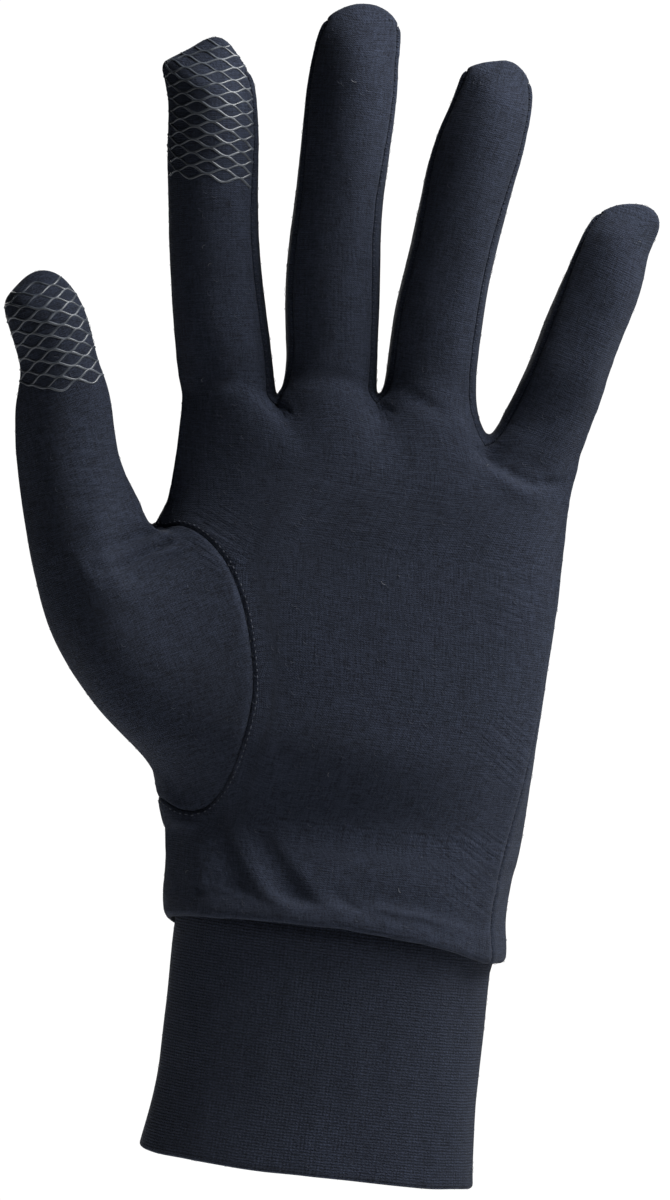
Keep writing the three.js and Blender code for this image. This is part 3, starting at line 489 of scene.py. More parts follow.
def thumbPlace(along, across):
    c, s = cosSin(thumb["lean"])
    upwards, sideways = along * thumb["length"], across * thumb["width"]
    x = thumb["rootAcross"] + upwards * s + sideways * c
    z = hand["cuffHeight"] + thumb["rootUp"] + upwards * c - sideways * s
    return np.array((x, 0.0, z))


thumbTipFaces = (  # steps around the last ring, points that close the tip
    ((0, 1, 2), (0,)),
    ((2, 3), (1, 0)),
    ((3, 4), (2, 1)),
    ((4, 5, 6), (2,)),
    ((6, 7, 8), (2,)),
    ((8, 9), (1, 2)),
    ((9, 10), (0, 1)),
    ((10, 11, 12), (0,)),
)


def addThumb():
    low, mid, high = rows[holeRows[0]], rows[holeRows[0] + 1], rows[holeRows[1]]
    hole = [high["left"], high["back"][0], mid["back"][0], low["back"][0], low["left"], *low["front"][:3]]
    hole += [mid["front"][2], high["front"][2], high["front"][1], high["front"][0]]
    rings = [hole]
    count = len(hole)
    for innerAlong, innerAcross, outerAlong, outerAcross, forward, depth in thumbSections:
        inner, outer = thumbPlace(innerAlong, innerAcross), thumbPlace(outerAlong, outerAcross)
        centre, reach = (inner + outer) / 2, (inner - outer) / 2
        ring = []
        for step in range(count):
            c, s = cosSin(360 * step / count)
            x, _, z = centre + reach * c
            y = depth * thumb["depth"] * s / 2 - forward * thumb["forward"]
            ring.append(addPoint(x, y, z))
        rings.append(ring)
    runs = [arcs([*ring, ring[0]]) for ring in rings]
    ups = [0.0]
    for i in range(len(rings) - 1):
        here = np.array([cagePoints[j] for j in rings[i]])
        above = np.array([cagePoints[j] for j in rings[i + 1]])
        ups.append(ups[-1] + np.linalg.norm(above - here, axis=1).mean())

    def flatPlace(i, step, strip=None):
        return runs[i][step] - runs[i][9], ups[i]

    addTube(rings, ["thumb"] * count, flatPlace)
    tip = rings[-1]
    mids = []
    for along, across in thumbTips:
        x, _, z = thumbPlace(along, across)
        mids.append(addPoint(x, -thumb["forward"], z))
    for steps, middles in thumbTipFaces:
        corners = [tip[step % count] for step in steps] + [mids[k] for k in middles]
        flat = [flatPlace(-1, step) for step in steps]
        centre = sum(place[0] for place in flat) / len(flat)
        flat += [(centre, ups[-1] + thumb["tipFlat"]) for _ in middles]
        addFace("thumb", corners, flat)


addThumb()
print(f"cage: {len(cagePoints)} points, {len(cageQuads)} faces")


# Smooth surface of the cage
def edgeTable(quads, count):
    ends = np.stack([quads, np.roll(quads, -1, axis=1)], axis=2)
    keys = ends.min(axis=2) * count + ends.max(axis=2)
    unique, numbers, uses = np.unique(keys.ravel(), return_inverse=True, return_counts=True)
    a, b = unique // count, unique % count
    return {"keys": unique, "a": a, "b": b, "of": numbers.reshape(-1, 4), "uses": uses}


def gather(count, numbers, values):
    total = np.zeros((count, 3))
    np.add.at(total, numbers, values)
    return total


def rimNeighbours(points, edges):
    rim = edges["uses"] == 1
    a, b = edges["a"][rim], edges["b"][rim]
    total = gather(len(points), a, points[b]) + gather(len(points), b, points[a])
    isRim = np.zeros(len(points), bool)
    isRim[a] = True
    isRim[b] = True
    return total, isRim


def valenceOf(count, edges):
    return (np.bincount(edges["a"], minlength=count) + np.bincount(edges["b"], minlength=count))[:, None]


def limitPlaces(points, quads, edges):
    count = len(points)
    n = np.maximum(valenceOf(count, edges), 1)
    a, b = edges["a"], edges["b"]
    around = gather(count, a, points[b]) + gather(count, b, points[a])
    across = gather(count, quads, points[np.roll(quads, -2, axis=1)])
    inner = (n * n * points + 4 * around + across) / (n * (n + 5))
    rimSum, isRim = rimNeighbours(points, edges)
    return np.where(isRim[:, None], (4 * points + rimSum) / 6, inner)


def subdivide(points, quads, edges, flat):
    count = len(points)
    middles = points[quads].mean(axis=1)
    a, b = edges["a"], edges["b"]
    ends = points[a] + points[b]
    sides = gather(len(a), edges["of"], middles[:, None, :].repeat(4, axis=1))
    edgePoints = np.where((edges["uses"] == 2)[:, None], (ends + sides) / 4, ends / 2)
    n = np.maximum(valenceOf(count, edges), 1)
    faceCount = np.maximum(np.bincount(quads.ravel(), minlength=count), 1)[:, None]
    faceMean = gather(count, quads, middles[:, None, :].repeat(4, axis=1)) / faceCount
    edgeMean = (gather(count, a, ends / 2) + gather(count, b, ends / 2)) / n
    moved = (faceMean + 2 * edgeMean + (n - 3) * points) / n
    rimSum, isRim = rimNeighbours(points, edges)
    moved = np.where(isRim[:, None], (6 * points + rimSum) / 8, moved)
    edgeNumbers = count + edges["of"]
    faceNumbers = np.repeat((count + len(a) + np.arange(len(quads)))[:, None], 4, axis=1)
    fine = np.stack([quads, edgeNumbers, faceNumbers, np.roll(edgeNumbers, 1, axis=1)], axis=2).reshape(-1, 4)
    half = (flat + np.roll(flat, -1, axis=1)) / 2
    centre = np.repeat(flat.mean(axis=1)[:, None, :], 4, axis=1)
    fineFlat = np.stack([flat, half, centre, np.roll(half, 1, axis=1)], axis=2).reshape(-1, 4, 2)
    return np.concatenate([moved, edgePoints, middles]), fine, fineFlat


def pointNormals(points, quads):
    corners = points[quads]
    normal = np.cross(corners[:, 2] - corners[:, 0], corners[:, 3] - corners[:, 1])
    total = gather(len(points), quads, normal[:, None, :].repeat(4, axis=1))
    return total / np.maximum(np.linalg.norm(total, axis=1, keepdims=True), 1e-9)


# The thumb seam on the palm side, from the crotch of the thumb down to the wrist, in X and Z
thumbCurve = {
    "places": (
        (-48.3, 135.5),
        (-43.8, 136.3),
        (-38.7, 134.5),
        (-34.1, 130.6),
        (-30.7, 125.5),
        (-27.9, 119.0),
        (-25.6, 111.1),
        (-24.2, 103.4),
        (-24.4, 95.5),
        (-26.0, 87.2),
        (-29.1, 80.9),
        (-32.6, 77.0),
        (-36.3, 75.2),
    ),
    "fineSteps": 40,
    "farthest": 6.0,
    "pull": (2.2, 6.0),
    "finePull": (0.5, 1.8),
    "palmFlat": 15.0,
    "thumbFlat": 13.0,
    "flatBand": (74.0, 86.0, 134.0, 152.0),
    "rounds": 160,
    "knuckleBand": (126.0, 142.0, 167.0, 180.0),
    "knuckleSoften": 0.7,
    "knuckleRounds": 36,
}


def bandShare(value, band):
    return smoothShare(value, band[0], band[1]) * (1 - smoothShare(value, band[2], band[3]))


def smoothCurve(places, each):
    # a curve through every place, with a few points between each two
    p = np.array(places)
    p = np.concatenate([[2 * p[0] - p[1]], p, [2 * p[-1] - p[-2]]])
    t = (np.arange(each) / each)[:, None]
    made = []
    for a, b, c, d in zip(p[:-3], p[1:-2], p[2:-1], p[3:]):
        bend, twist = 2 * a - 5 * b + 4 * c - d, 3 * b - a - 3 * c + d
        made.append(0.5 * (2 * b + (c - a) * t + bend * t**2 + twist * t**3))
    return np.concatenate([*made, p[-2:-1]])


def ownersOf(edges, pieceOf):
    # the lowest and the highest number of the pieces that meet at every edge
    owners = np.repeat(pieceOf[:, None], 4, axis=1)
    low, high = np.full(len(edges["keys"]), len(cageNames)), np.full(len(edges["keys"]), -1)
    np.minimum.at(low, edges["of"], owners)
    np.maximum.at(high, edges["of"], owners)
    return low, high


thumbNumber = cageNames.index("thumb")


def frontThumbSeam(points, quads, edges, pieceOf):
    low, high = ownersOf(edges, pieceOf)
    found = (low == 0) & (high == thumbNumber)
    facing = smoothShare(-pointNormals(points, quads)[:, 1], 0.15, 0.5)
    seam = np.unique(np.concatenate([edges["a"][found], edges["b"][found]]))
    return seam[facing[seam] > 0.3], facing


def pullToCurve(points, seam, facing, spread, reach):
    # move the seam sideways onto its curve and take the cloth around it along
    curve = smoothCurve(thumbCurve["places"], thumbCurve["fineSteps"])
    here = points[seam][:, [0, 2]]
    away = np.linalg.norm(here[:, None] - curve[None], axis=2)
    nearest = away.argmin(axis=1)
    isNear = away.min(axis=1) < thumbCurve["farthest"]
    pull = (curve[nearest] - here) * (facing[seam] * isNear)[:, None]
    pull[(nearest == 0) | (nearest == len(curve) - 1)] = 0.0
    inBox = facing > 0
    for axis, side in ((0, here[:, 0]), (2, here[:, 1])):
        inBox &= (points[:, axis] > side.min() - 3 * reach) & (points[:, axis] < side.max() + 3 * reach)
    spots = np.flatnonzero(inBox)
    gap = np.linalg.norm(points[spots][:, None, [0, 2]] - here[None], axis=2)
    weight = np.exp(-((gap / spread) ** 2)) + 1e-9 / (1e-6 + gap**4)
    moved = (weight @ pull) / weight.sum(axis=1, keepdims=True)
    closest = gap.min(axis=1)
    moved *= (facing[spots] * np.exp(-((closest / reach) ** 2)))[:, None]
    points = points.copy()
    points[spots, 0] += moved[:, 0]
    points[spots, 2] += moved[:, 1]
    seamGap = np.full(len(points), farAway)
    seamGap[spots] = closest
    return points, seamGap


def evenDepth(points, edges, soften, rounds):
    # draw each point's depth towards its neighbours', near ones counting more
    a, b = edges["a"], edges["b"]
    pull = 1 / np.maximum(np.linalg.norm(points[a][:, [0, 2]] - points[b][:, [0, 2]], axis=1), 0.3)
    count = len(points)
    total = np.maximum(np.bincount(a, pull, count) + np.bincount(b, pull, count), 1e-6)
    depth = points[:, 1].copy()
    for settleRound in range(rounds):
        around = np.bincount(a, pull * depth[b], count) + np.bincount(b, pull * depth[a], count)
        depth += soften * (around / total - depth)
    return depth


def settleThumbSeam(points, quads, edges, pieceOf):
    # the seam onto its curve, then the cloth beside it lies flat
    seam, facing = frontThumbSeam(points, quads, edges, pieceOf)
    points, seamGap = pullToCurve(points, seam, facing, *thumbCurve["pull"])
    isThumb = np.zeros(len(points), bool)
    isThumb[np.unique(quads[pieceOf == thumbNumber])] = True
    reach = np.where(isThumb, thumbCurve["thumbFlat"], thumbCurve["palmFlat"])
    soften = facing * (1 - smoothShare(seamGap / reach, 0.55, 1.0))
    soften *= bandShare(points[:, 2], thumbCurve["flatBand"])
    points[:, 1] = evenDepth(points, edges, soften, thumbCurve["rounds"])
    soften = thumbCurve["knuckleSoften"] * facing * bandShare(points[:, 2], thumbCurve["knuckleBand"])
    points[:, 1] = evenDepth(points, edges, soften, thumbCurve["knuckleRounds"])
    return points


points = np.array(cagePoints)
quads = np.array(cageQuads)
flat = np.array(cageFlat)
pieceOf = np.array(cagePieces)
edges = edgeTable(quads, len(points))
targets = points.copy()
for solveRound in range(hand["solveRounds"]):  # so that the smooth surface passes through these points
    points = points + targets - limitPlaces(points, quads, edges)

levels = []
for level in range(hand["fineLevels"] + 1):
    if level == hand["wallLevels"]:
        points = settleThumbSeam(points, quads, edges, pieceOf)
    levels.append({"quads": quads, "edges": edges, "count": len(points), "flat": flat, "pieces": pieceOf})
    if level < hand["fineLevels"]:
        points, quads, flat = subdivide(points, quads, edges, flat)
        pieceOf = np.repeat(pieceOf, 4)
        edges = edgeTable(quads, len(points))
skin = limitPlaces(points, quads, edges)
seam, facing = frontThumbSeam(skin, quads, edges, pieceOf)
skin, _ = pullToCurve(skin, seam, facing, *thumbCurve["finePull"])
plainNormals = pointNormals(skin, quads)
print(f"skin: {len(skin)} points, {len(quads)} faces")


def middleNumber(level, a, b):
    low, high = np.minimum(a, b), np.maximum(a, b)
    key = low * levels[level]["count"] + high
    return levels[level]["count"] + np.searchsorted(levels[level]["edges"]["keys"], key)


def boundaryOf(level, piece):
    # directed edges of a piece that have another piece, or nothing, on their far side
    here = levels[level]
    numbers = here["edges"]["of"]
    own = here["pieces"] == piece
    ownUses = np.bincount(numbers[own].ravel(), minlength=len(here["edges"]["keys"]))
    isEdge = (ownUses[numbers] == 1) & own[:, None]
    a, b = here["quads"], np.roll(here["quads"], -1, axis=1)
    spots = [flat[isEdge] for flat in (here["flat"], np.roll(here["flat"], -1, axis=1))]
    joined = here["edges"]["uses"][numbers][isEdge] == 2
    return a[isEdge], b[isEdge], spots[0], spots[1], joined


# Folds and creases pressed into the cloth
pressedFolds = (  # fromAcross, fromUp, toAcross, toUp, depth, width, as shares of the hand's own sizes
    (-0.68, 0.24, -0.39, 0.06, 0.05, 0.16),
    (-0.5, 0.23, -0.03, 0.04, 0.05, 0.16),
    (-0.4, 0.24, 0.8, 0.22, 0.03, 0.3),
    (0.5, 0.95, 0.89, 0.91, 0.05, 0.14),
    (-1.04, 0.73, -1.34, 0.63, 0.06, 0.16),
)
creases = (  # fromX, fromZ, toX, toZ, height, width in millimetres, on the palm side
    (-28.4, 75.0, -9.8, 51.6, 1.15, 2.1),
    (-18.4, 74.0, 2.4, 52.0, 0.5, 2.3),
    (-2.4, 63.5, 5.6, 55.0, -0.3, 1.4),
    (-32.4, 63.0, -30.4, 54.7, -0.4, 0.7),
    (-31.0, 62.0, -29.0, 55.0, 0.3, 0.8),
    (-35.0, 60.5, -22.0, 57.0, 0.35, 1.6),
    (6.0, 58.6, 33.0, 54.6, 0.8, 2.2),
    (-2.0, 64.5, 24.0, 61.0, -0.35, 3.0),
    (-47.6, 136.4, -63.4, 128.0, -1.5, 0.95),
    (-44.8, 133.2, -60.4, 123.9, -1.9, 0.95),
    (-42.6, 130.6, -55.6, 121.4, -1.2, 0.95),
    (-46.2, 134.8, -61.9, 126.0, 1.0, 0.95),
    (-43.8, 131.9, -58.0, 122.7, 0.9, 0.8),
    (-53.0, 138.0, -66.0, 134.5, 0.35, 1.6),
    (-54.0, 141.5, -68.0, 139.5, -0.3, 1.3),
    (16.5, 163.2, 24.6, 157.4, -0.9, 1.4),
    (24.0, 157.8, 31.9, 154.4, -1.2, 1.4),
    (30.5, 154.8, 38.4, 156.1, -0.8, 1.2),
    (19.0, 156.6, 35.0, 151.2, 0.6, 2.2),
    (22.0, 162.5, 36.0, 160.5, 0.35, 2.4),
    (-24.5, 171.6, -8.0, 173.4, -0.6, 2.0),
    (-2.6, 172.6, 12.5, 167.6, -0.6, 2.0),
    (-44.0, 169.0, -30.0, 170.5, -0.35, 2.2),
    (-58.0, 149.5, -50.5, 151.5, -0.3, 0.6),
    (-60.0, 145.8, -50.8, 148.0, -0.35, 0.6),
    (-59.0, 142.0, -49.8, 143.6, -0.35, 0.6),
    (-57.0, 138.6, -48.9, 140.0, -0.4, 0.7),
)
hollows = (  # x, z, reach to the sides, up and down, depth of broad hollows, below 0 for a swell
    (-20.0, 76.5, 30.0, 9.0, 13.0, 3.6),
    (-26.0, 56.5, 12.0, 4.0, 6.0, 0.5),
    (-4.0, 95.0, 34.0, 44.0, 9.0, -2.6),
    (-34.0, 52.0, 80.0, 6.0, 6.0, 0.5),
    (-43.0, 141.0, 16.0, 16.0, 14.0, -0.8),
)
crotchPulls = (  # x, z at the foot of each gap; direction, spread, count and length of the pulls there
    (-26.3, 166.2, -92.0, 120.0, 5, 3.0),
    (-4.3, 168.6, -84.0, 120.0, 5, 3.4),
    (18.6, 162.2, -70.0, 120.0, 5, 3.0),
    (-48.6, 133.6, -60.0, 80.0, 4, 3.0),
)
pullLook = {"start": 0.9, "depth": 0.6, "width": 0.38}
wanderLook = {"reach": 0.7, "grain": 9.0}
unevenCloth = (  # rise, grain, seed
    (0.16, 13.0, 11),
    (0.07, 5.5, 12),
    (0.035, (5.0, 5.0, 1.4), 13),
)
seamLook = {
    "grooveDepth": 0.34,
    "grooveWidth": 0.4,
    "thumbGroove": -0.1,
    "weltHeight": 0.1,
    "weltDistance": 1.5,
    "weltWidth": 0.9,
    "puckerHeight": 0.07,
    "puckerReach": 2.2,
    "puckerPitch": 1.7,
    "crotchPucker": 0.25,
    "crotchReach": 6.0,
    "thumbPucker": 0.05,
    "thumbWelt": -0.06,
}


def lineDistance(places, x0, z0, x1, z1):
    start = np.array((x0, z0))
    run = np.array((x1, z1)) - start
    here = places[:, [0, 2]] - start
    share = np.clip(here @ run / (run @ run), 0.0, 1.0)
    return np.linalg.norm(here - share[:, None] * run, axis=1), share


frontness = np.clip(-plainNormals[:, 1], 0.0, 1.0)
height = np.zeros(len(skin))
for fromAcross, fromUp, toAcross, toUp, depth, width in pressedFolds:
    ends = []
    for across, up in ((fromAcross, fromUp), (toAcross, toUp)):
        ends.append(hand["knuckleShift"] + across * knuckleBreadth / 2)
        ends.append(hand["cuffHeight"] + up * hand["palmLength"])
    distance, share = lineDistance(skin, *ends)
    fade = 1 - np.abs(2 * share - 1) ** 3
    pressed = depth * hand["palmDepth"] * fade * np.exp(-((distance / (width * hand["palmDepth"])) ** 2))
    height -= pressed * frontness
for x, z, right, up, down, depth in hollows:
    across = np.maximum(skin[:, 0] - x, 0.0) / right
    along = (skin[:, 2] - z) / np.where(skin[:, 2] > z, up, down)
    height -= depth * np.exp(-(across**2) - along**2) * frontness
for x, z, turn, spread, count, length in crotchPulls:
    for number in range(count):
        c, s = cosSin(turn + spread * (number / (count - 1) - 0.5))
        start = pullLook["start"]
        distance, _ = lineDistance(skin, x + start * c, z + start * s, x + length * c, z + length * s)
        height -= pullLook["depth"] * np.exp(-((distance / pullLook["width"]) ** 2)) * frontness
wander = np.zeros(skin.shape)
wander[:, 0] = softNoise(skin / wanderLook["grain"], 1)
wander[:, 2] = softNoise(skin / wanderLook["grain"], 2)
for x0, z0, x1, z1, rise, width in creases:
    distance, share = lineDistance(skin + wanderLook["reach"] * wander, x0, z0, x1, z1)
    fade = np.clip(1 - np.abs(2 * share - 1) ** 4, 0.0, 1.0)
    height += rise * fade * np.exp(-((distance / width) ** 2)) * frontness**2
for rise, grain, seed in unevenCloth:
    height += rise * softNoise(skin / np.array(grain), seed)

# Seams: a shallow groove with a soft welt on both sides, gathered a little along its length
allEdges = levels[-1]["edges"]
lowPiece, highPiece = ownersOf(allEdges, levels[-1]["pieces"])
isSeam = (lowPiece != highPiece) & (allEdges["uses"] == 2)
seamPoints = np.unique(np.concatenate([allEdges["a"][isSeam], allEdges["b"][isSeam]]))
thumbSeamEdges = isSeam & (highPiece == thumbNumber)
onThumbSeam = np.zeros(len(skin), bool)
onThumbSeam[allEdges["a"][thumbSeamEdges]] = True
onThumbSeam[allEdges["b"][thumbSeamEdges]] = True
crotchPlaces = targets[[*knuckles["saddles"].values(), rows[holeRows[1]]["left"]]]

tree = KDTree(len(seamPoints))
for i, j in enumerate(seamPoints):
    tree.insert(skin[j], i)
tree.balance()
seamDistance = np.full(len(skin), farAway)
nearestSeam = np.zeros(len(skin), int)
for j, place in enumerate(skin):
    _, i, away = tree.find(place)
    seamDistance[j] = away
    nearestSeam[j] = seamPoints[i]
seamPlace = skin[nearestSeam]
crotchAway = np.linalg.norm(seamPlace[:, None, :] - crotchPlaces[None, :, :], axis=2).min(axis=1)
nearCrotch = np.exp(-((crotchAway / seamLook["crotchReach"]) ** 2))
besideThumb = onThumbSeam[nearestSeam].astype(float)
pucker = softNoise(seamPlace / seamLook["puckerPitch"], 21)
pucker += 0.5 * softNoise(seamPlace * 2 / seamLook["puckerPitch"], 22)
puckerHeight = seamLook["puckerHeight"] + seamLook["crotchPucker"] * nearCrotch
puckerHeight += seamLook["thumbPucker"] * besideThumb
height += puckerHeight * pucker * np.exp(-seamDistance / seamLook["puckerReach"])
groove = seamLook["grooveDepth"] + seamLook["thumbGroove"] * besideThumb
height -= groove * np.exp(-((seamDistance / seamLook["grooveWidth"]) ** 2))
welt = np.exp(-(((seamDistance - seamLook["weltDistance"]) / seamLook["weltWidth"]) ** 2))
height += (seamLook["weltHeight"] + seamLook["thumbWelt"] * besideThumb) * welt
skin = skin + plainNormals * height[:, None]

# The lower edge of the hand hangs over the cuff in an uneven line, highest near the middle of the palm
lip = {
    "across": (-39.0, -35.6, -23.0, -8.5, 2.4, 9.7, 19.0, 28.0, 34.8, 39.0),
    "up": (50.6, 51.4, 53.2, 53.6, 53.9, 53.7, 52.8, 51.2, 49.7, 49.4),
    "backUp": 49.4,
    "reach": 12.0,
    "edge": 1.2,
    "still": 1.5,
    "wave": 0.3,
    "waveGrain": (6.0, 12.0),
}
lipUp = skin[:, 2].min()
onLip = (skin[:, 2] < lipUp + lip["edge"]) & (plainNormals[:, 2] < 0.2)
wanted = np.interp(skin[:, 0], lip["across"], lip["up"])
wanted = mix(lip["backUp"], wanted, smoothShare(-skin[:, 1], -8.0, 4.0))
wanted += lip["wave"] * softNoise(skin * (1 / lip["waveGrain"][0], 1 / lip["waveGrain"][1], 0.0), 31)
nearLip = 1 - smoothShare(skin[:, 2], lipUp + lip["still"], lipUp + lip["still"] + lip["reach"])
skin[:, 2] += (wanted - lipUp) * nearLip
normals = pointNormals(skin, levels[-1]["quads"])
print("cloth shaped")


def newObject(name, data):
    made = bpy.data.objects.new(name, data)
    bpy.context.scene.collection.objects.link(made)
    return made


def meshFrom(name, places, faces, flatSpots):
    mesh = bpy.data.meshes.new(name)
    mesh.from_pydata((places * millimetre).tolist(), [], faces)
    if flatSpots is not None:
        layer = mesh.uv_layers.new(name="cloth")
        layer.data.foreach_set("uv", (np.asarray(flatSpots, np.float32) * uvPerMm).ravel())
    mesh.polygons.foreach_set("use_smooth", [True] * len(mesh.polygons))
    return newObject(name, mesh)


def panelObject(name, piece):
    # the fine outer skin, a plainer inner face one wall behind it, and a rim along every cut edge
    fine, wall = levels[hand["fineLevels"]], levels[hand["wallLevels"]]
    outerQuads = fine["quads"][fine["pieces"] == piece]
    innerQuads = wall["quads"][wall["pieces"] == piece]
    outerUsed, innerUsed = np.unique(outerQuads), np.unique(innerQuads)
    outerAt = np.zeros(len(skin), int)
    outerAt[outerUsed] = np.arange(len(outerUsed))
    innerAt = np.zeros(len(skin), int)
    innerAt[innerUsed] = len(outerUsed) + np.arange(len(innerUsed))
    shift = np.zeros((len(skin), 3))
    a, b, _, _, joined = boundaryOf(hand["fineLevels"], piece)
    a, b = a[joined], b[joined]
    run = skin[b] - skin[a]
    for j in (a, b):
        square = np.cross(normals[j], run)
        np.add.at(shift, j, square / np.maximum(np.linalg.norm(square, axis=1, keepdims=True), 1e-9))
    shift *= hand["seamGap"] / 2 / np.maximum(np.linalg.norm(shift, axis=1, keepdims=True), 0.5)
    place = skin + shift
    behind = -hand["wall"] * plainNormals[innerUsed]
    isLip = onLip[innerUsed]
    behind[isLip] = (0.0, 0.0, hand["wall"])
    places = np.concatenate([place[outerUsed], place[innerUsed] + behind])
    faces = outerAt[outerQuads].tolist()
    spots = [fine["flat"][fine["pieces"] == piece].reshape(-1, 2)]
    faces += innerAt[innerQuads[:, ::-1]].tolist()
    spots.append(wall["flat"][wall["pieces"] == piece][:, ::-1].reshape(-1, 2))
    a, b, flatA, flatB, _ = boundaryOf(hand["wallLevels"], piece)
    middle = middleNumber(hand["wallLevels"], a, b)
    quarters = [middleNumber(hand["wallLevels"] + 1, *ends) for ends in ((middle, b), (a, middle))]
    outerRim = [outerAt[j] for j in (b, quarters[0], middle, quarters[1], a)]
    faces += np.stack([*outerRim, innerAt[a], innerAt[b]], axis=1).tolist()
    shares = (1.0, 0.75, 0.5, 0.25, 0.0, 0.0, 1.0)
    spots.append(np.stack([mix(flatA, flatB, share) for share in shares], axis=1).reshape(-1, 2))
    return meshFrom(name, places, faces, np.concatenate(spots))


clothNames = [
    "palmCloth",
    "backCloth",
    "sideStripIndexMiddle",
    "sideStripMiddleRing",
    "sideStripRingLittle",
    "thumbCloth",
]
pieces = {name: panelObject(name, number) for number, name in enumerate(clothNames)}
print("panels built")

# Ribbed cuff, folded double at the hem
cuff = {
    "wall": 2.2,
    "tuck": 7.5,
    "tuckIn": 1.3,
    "flare": 2.0,
    "flareHeight": 20.0,
    "boxy": 2.2,
    "girth": 178.0,
    "ribs": 228,
    "ribRise": 0.05,
    "stepsPerRib": 4,
    "rows": 52,
    "innerRows": 12,
    "unevenness": 0.35,
    "grain": (11.0, 11.0, 16.0),
    "fineUnevenness": 0.14,
    "fineGrain": (4.0, 4.0, 12.0),
    "hemWave": 0.3,
    "hemGrain": 12.0,
    "hemReach": 6.0,
}


def buildCuff():
    columns = cuff["ribs"] * cuff["stepsPerRib"]
    hemRadius = cuff["wall"] / 2
    topUp = hand["cuffHeight"] + cuff["tuck"]
    profile = [(up, 0.0) for up in np.linspace(hemRadius, topUp, cuff["rows"])]
    profile += [(up, 1.0) for up in np.linspace(topUp, hemRadius, cuff["innerRows"])]
    for turn in np.linspace(0, 180, 9)[1:-1]:
        c, s = cosSin(turn)
        profile.append((hemRadius - hemRadius * s, 0.5 + 0.5 * c))
    denseTurns = np.linspace(0, 360, 2881)
    half, halfDepth = hand["wristBreadth"] / 2, hand["wristDepth"] / 2
    section = sectionAt(-half, half, halfDepth, cuff["boxy"])
    run = runningLength(np.array([sectionPoint(section, turn) for turn in denseTurns]))
    share = np.arange(columns) / columns
    turns = np.interp(share * run[-1], run, denseTurns)
    ribWave = np.cos(2 * np.pi * np.arange(columns) / cuff["stepsPerRib"])
    places, spots = [], []
    for up, through in profile:
        flare = cuff["flare"] * max(0.0, 1 - up / cuff["flareHeight"]) ** 1.5
        half = hand["wristBreadth"] / 2 + flare
        halfDepth = hand["wristDepth"] / 2 + flare
        section = sectionAt(-half, half, halfDepth, cuff["boxy"])
        at = np.array([sectionPoint(section, turn) for turn in turns])
        steepX = np.sign(at[:, 0]) * np.abs(at[:, 0] / half) ** (cuff["boxy"] - 1) / half
        outward = np.stack([cuff["boxy"] / 2 * steepX, at[:, 1] / halfDepth**2], axis=1)
        outward /= np.linalg.norm(outward, axis=1, keepdims=True)
        here = np.stack([at[:, 0], at[:, 1], np.full(columns, up)], axis=1)
        shown = max(0.0, 1 - through * 2)
        fade = 1 - smoothShare(up, hand["cuffHeight"] - 2.5, hand["cuffHeight"])
        uneven = cuff["unevenness"] * (softNoise(here / cuff["grain"], 41) - 0.6) * fade
        uneven += cuff["fineUnevenness"] * softNoise(here / cuff["fineGrain"], 42) * fade
        push = -through * cuff["wall"] + uneven * (1 - 0.7 * through)
        push += cuff["ribRise"] * (ribWave - 1) * 0.5 * shown
        push -= cuff["tuckIn"] * smoothShare(up, hand["cuffHeight"] + 1.5, topUp - 1.5)
        at = at + outward * push[:, None]
        level = np.column_stack([at / cuff["hemGrain"], np.zeros(columns)])
        hemWave = cuff["hemWave"] * (softNoise(level, 43) + 0.5)
        rise = hemWave * np.exp(-((up / cuff["hemReach"]) ** 2))
        rise += cuff["ribRise"] * shown * (1 - ribWave) * (up < hemRadius * 1.5)
        places.append(np.stack([at[:, 0], at[:, 1], up + np.maximum(rise, 0.0)], axis=1))
        spots.append(up if through < 0.5 else -up)
    places = np.concatenate(places)
    count = len(profile)
    step, ring = np.meshgrid(np.arange(columns), np.arange(count))
    after, above = (step + 1) % columns, (ring + 1) % count
    here, over = ring * columns, above * columns
    faces = np.stack([here + step, here + after, over + after, over + step], axis=2)
    width = run[-1] / columns
    low, high = np.array(spots)[ring], np.array(spots)[above]
    high = np.where(above == 0, 0.0, high)
    left, right = step * width, (step + 1) * width
    flatSpots = np.stack([left, low, right, low, right, high, left, high], axis=2).reshape(-1, 2)
    return meshFrom("ribbedCuff", places, faces.reshape(-1, 4).tolist(), flatSpots)


pieces["ribbedCuff"] = buildCuff()
print("cuff built")

# Trees of nodes: a tree of geometry nodes runs once on a source object and is kept as a plain mesh
def newGroup(kind, name, inputs, outputs):
    group = bpy.data.node_groups.new(name, kind)
    for label, socketKind, *first in inputs:
        socket = group.interface.new_socket(label, in_out="INPUT", socket_type="NodeSocket" + socketKind)
        if first:
            socket.default_value = first[0]
    for label, socketKind in outputs:
        group.interface.new_socket(label, in_out="OUTPUT", socket_type="NodeSocket" + socketKind)
    return group, group.nodes.new("NodeGroupInput"), group.nodes.new("NodeGroupOutput")


def feed(tree, node, given):
    # each input gets its value, or a link from the output that it takes it from
    for label, value in given.items():
        if isinstance(value, bpy.types.NodeSocket):
            tree.links.new(value, node.inputs[label])
        else:
            node.inputs[label].default_value = value


def addNode(tree, kind, given, **settings):
    node = tree.nodes.new(kind)
    for label, value in settings.items():
        setattr(node, label, value)
    feed(tree, node, given)
    return node


def readAttribute(tree, label, kind):
    node = addNode(tree, "GeometryNodeInputNamedAttribute", {"Name": label}, data_type=kind)
    return node.outputs["Attribute"]


def chanceBetween(tree, seed, low, high):
    given = {2: low, 3: high, "Seed": seed}
    return addNode(tree, "FunctionNodeRandomValue", given, data_type="FLOAT").outputs[1]


def shapeTree(name, inputs):
    sockets = [("Geometry", "Geometry"), *inputs, ("Finish", "Material")]
    return newGroup("GeometryNodeTree", name, sockets, [("Geometry", "Geometry")])


